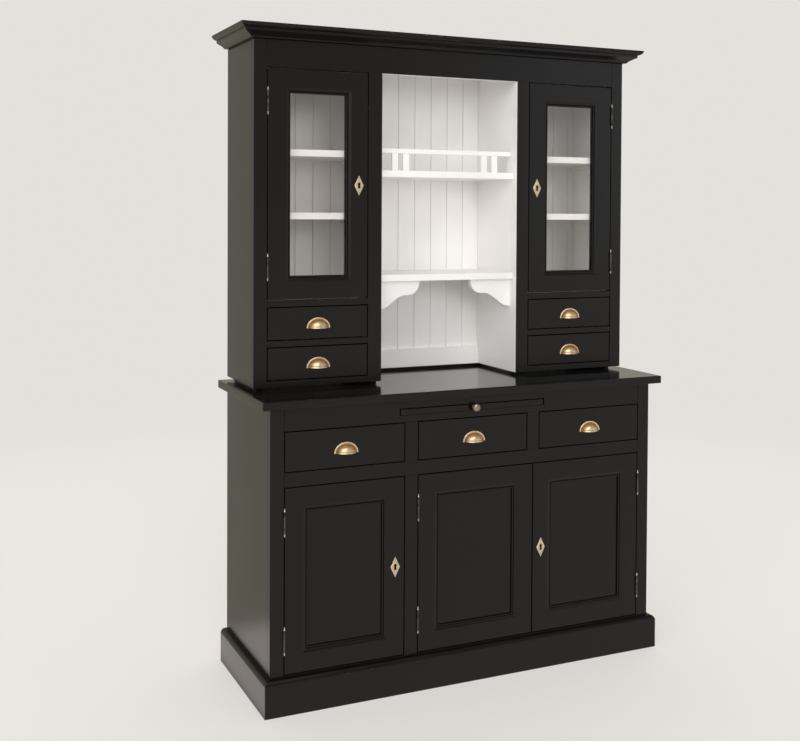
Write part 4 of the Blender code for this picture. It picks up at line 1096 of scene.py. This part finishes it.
def make_floor():
    """Pale floor that takes the shadow and fades into the pale background.

    Gloss sees it lighter to the left of the dresser and dimmer elsewhere.
    """
    mesh = bpy.data.meshes.new("studio_floor")
    half = 60.0
    corners = [(-half, -half, 0.0), (half, -half, 0.0), (half, half, 0.0), (-half, half, 0.0)]
    mesh.from_pydata(corners, [], [(0, 1, 2, 3)])
    finish = Finish("studio_floor")
    place = finish.place()
    far = finish.stepped(finish.vector("LENGTH", {0: place}, "Value"), 1.6, 5.0)
    back = finish.part(place, "Y")
    beside = finish.stepped(back, -0.60, -0.35) * (1.0 - finish.stepped(back, 0.42, 0.60))
    left = (1.0 - finish.stepped(finish.part(place, "X"), -0.74, -0.70)) * beside
    dim = finish.tint(finish.stepped(back, -0.25, 0.60), FLOOR_BEFORE, GLOSS_BEHIND)
    glossy = finish.ray("Is Glossy Ray")
    seen = finish.tint(glossy, finish.tint(far, FLOOR_NEAR, PALE), finish.tint(left, dim, FLOOR_LEFT))
    glow = finish.node("ShaderNodeEmission", {"Color": seen})
    finish.set(Base_Color=(0.97, 0.945, 0.915), Roughness=0.6, IOR=1.3)
    shown = (0.5 + 0.5 * far) * finish.ray("Is Camera Ray")
    finish.blend(1.0 - (shown + glossy).clipped(), glow)
    mesh.materials.append(finish.material)
    floor = bpy.data.objects.new("studio_floor", mesh)
    bpy.context.scene.collection.objects.link(floor)


def make_world():
    """Pale to the eye, dim to matt surfaces, and to gloss light on both sides and darker above and before."""
    world = bpy.data.worlds.new("studio")
    bpy.context.scene.world = world
    world.use_nodes = True
    graph = Graph(world.node_tree)
    way = graph.node("ShaderNodeTexCoord", {}, "Generated")
    across, back, up = (graph.part(way, axis) for axis in "XYZ")
    depth = graph.node("ShaderNodeMapRange", {"Value": back, "From Min": -1.0})
    right = graph.stepped(across, 0.44, 0.56) * (1.0 - graph.stepped(across, 0.72, 0.85)) * (1.0 - depth)
    left = graph.stepped(0.0 - across, -0.06, 0.24) * graph.stepped(0.0 - back, 0.02, 0.20)
    gloss = graph.tint(right, graph.tint(depth, GLOSS_BEFORE, GLOSS_BEHIND), GLOSS_RIGHT)
    gloss = graph.tint(left, gloss, GLOSS_LEFT)
    gloss = graph.tint(graph.stepped(up, 0.15, 0.65), gloss, GLOSS_ABOVE)
    lit = graph.tint(graph.ray("Is Glossy Ray"), AMBIENT, gloss)
    shown = graph.tint(graph.ray("Is Camera Ray"), lit, PALE)
    graph.feed(world.node_tree.nodes["Background"].inputs["Color"], shown)


def make_sun(name, azimuth, elevation, strength, softness, in_gloss):
    """A soft sun that only gloss or only matt surfaces see.

    Azimuth 0 shines from the front and grows to the right, elevation is above the horizon.
    """
    lamp = bpy.data.lights.new(name, "SUN")
    lamp.energy = strength
    lamp.angle = math.radians(softness)
    holder = bpy.data.objects.new(name, lamp)
    holder.visible_glossy = in_gloss
    holder.visible_diffuse = not in_gloss
    bpy.context.scene.collection.objects.link(holder)
    holder.rotation_euler = (math.radians(90.0 - elevation), 0.0, math.radians(azimuth))


def make_camera():
    """The photograph's viewpoint: place, heading, tilt and roll, with the picture's centre shifted."""
    place = (-1.726, -3.443, 1.519)
    heading, tilt, roll = 0.429, -0.022, 0.005
    lens = bpy.data.cameras.new("viewpoint")
    lens.sensor_width = 36.0
    lens.lens = 50.80
    lens.shift_x = -0.0055
    lens.shift_y = -0.1675
    camera = bpy.data.objects.new("viewpoint", lens)
    bpy.context.scene.collection.objects.link(camera)
    view = Matrix.Translation(place)
    for angle, axis in ((-heading, "Z"), (math.pi / 2 + tilt, "X"), (roll, "Z")):
        view = view @ Matrix.Rotation(angle, 4, axis)
    camera.matrix_world = view
    bpy.context.scene.camera = camera


make_cornice()
make_plinth()
make_worktop()
make_case_boards()
make_drawer_deck()
make_backs()
make_base_frame()
make_hutch_frame()
make_hutch_cupboard(-1, "left")
make_hutch_cupboard(1, "right")
make_gallery_shelf()
make_bracket_shelf()
make_all_doors()
make_all_drawers()
make_pull_out_board()
make_floor()
make_world()
for sun in (
    ("key", -52.0, 12.0, 1.14, 44.0, False),
    ("front", -3.0, 10.0, 0.70, 26.0, False),
    ("upper", -10.0, 34.0, 0.24, 16.0, False),
    ("top", 0.0, 75.0, 0.95, 90.0, False),
    ("behind", 165.0, 38.0, 0.9, 90.0, False),
    ("glint", -34.0, 58.0, 1.8, 60.0, True),
):
    make_sun(*sun)
make_camera()
bpy.context.scene.view_settings.view_transform = "Standard"
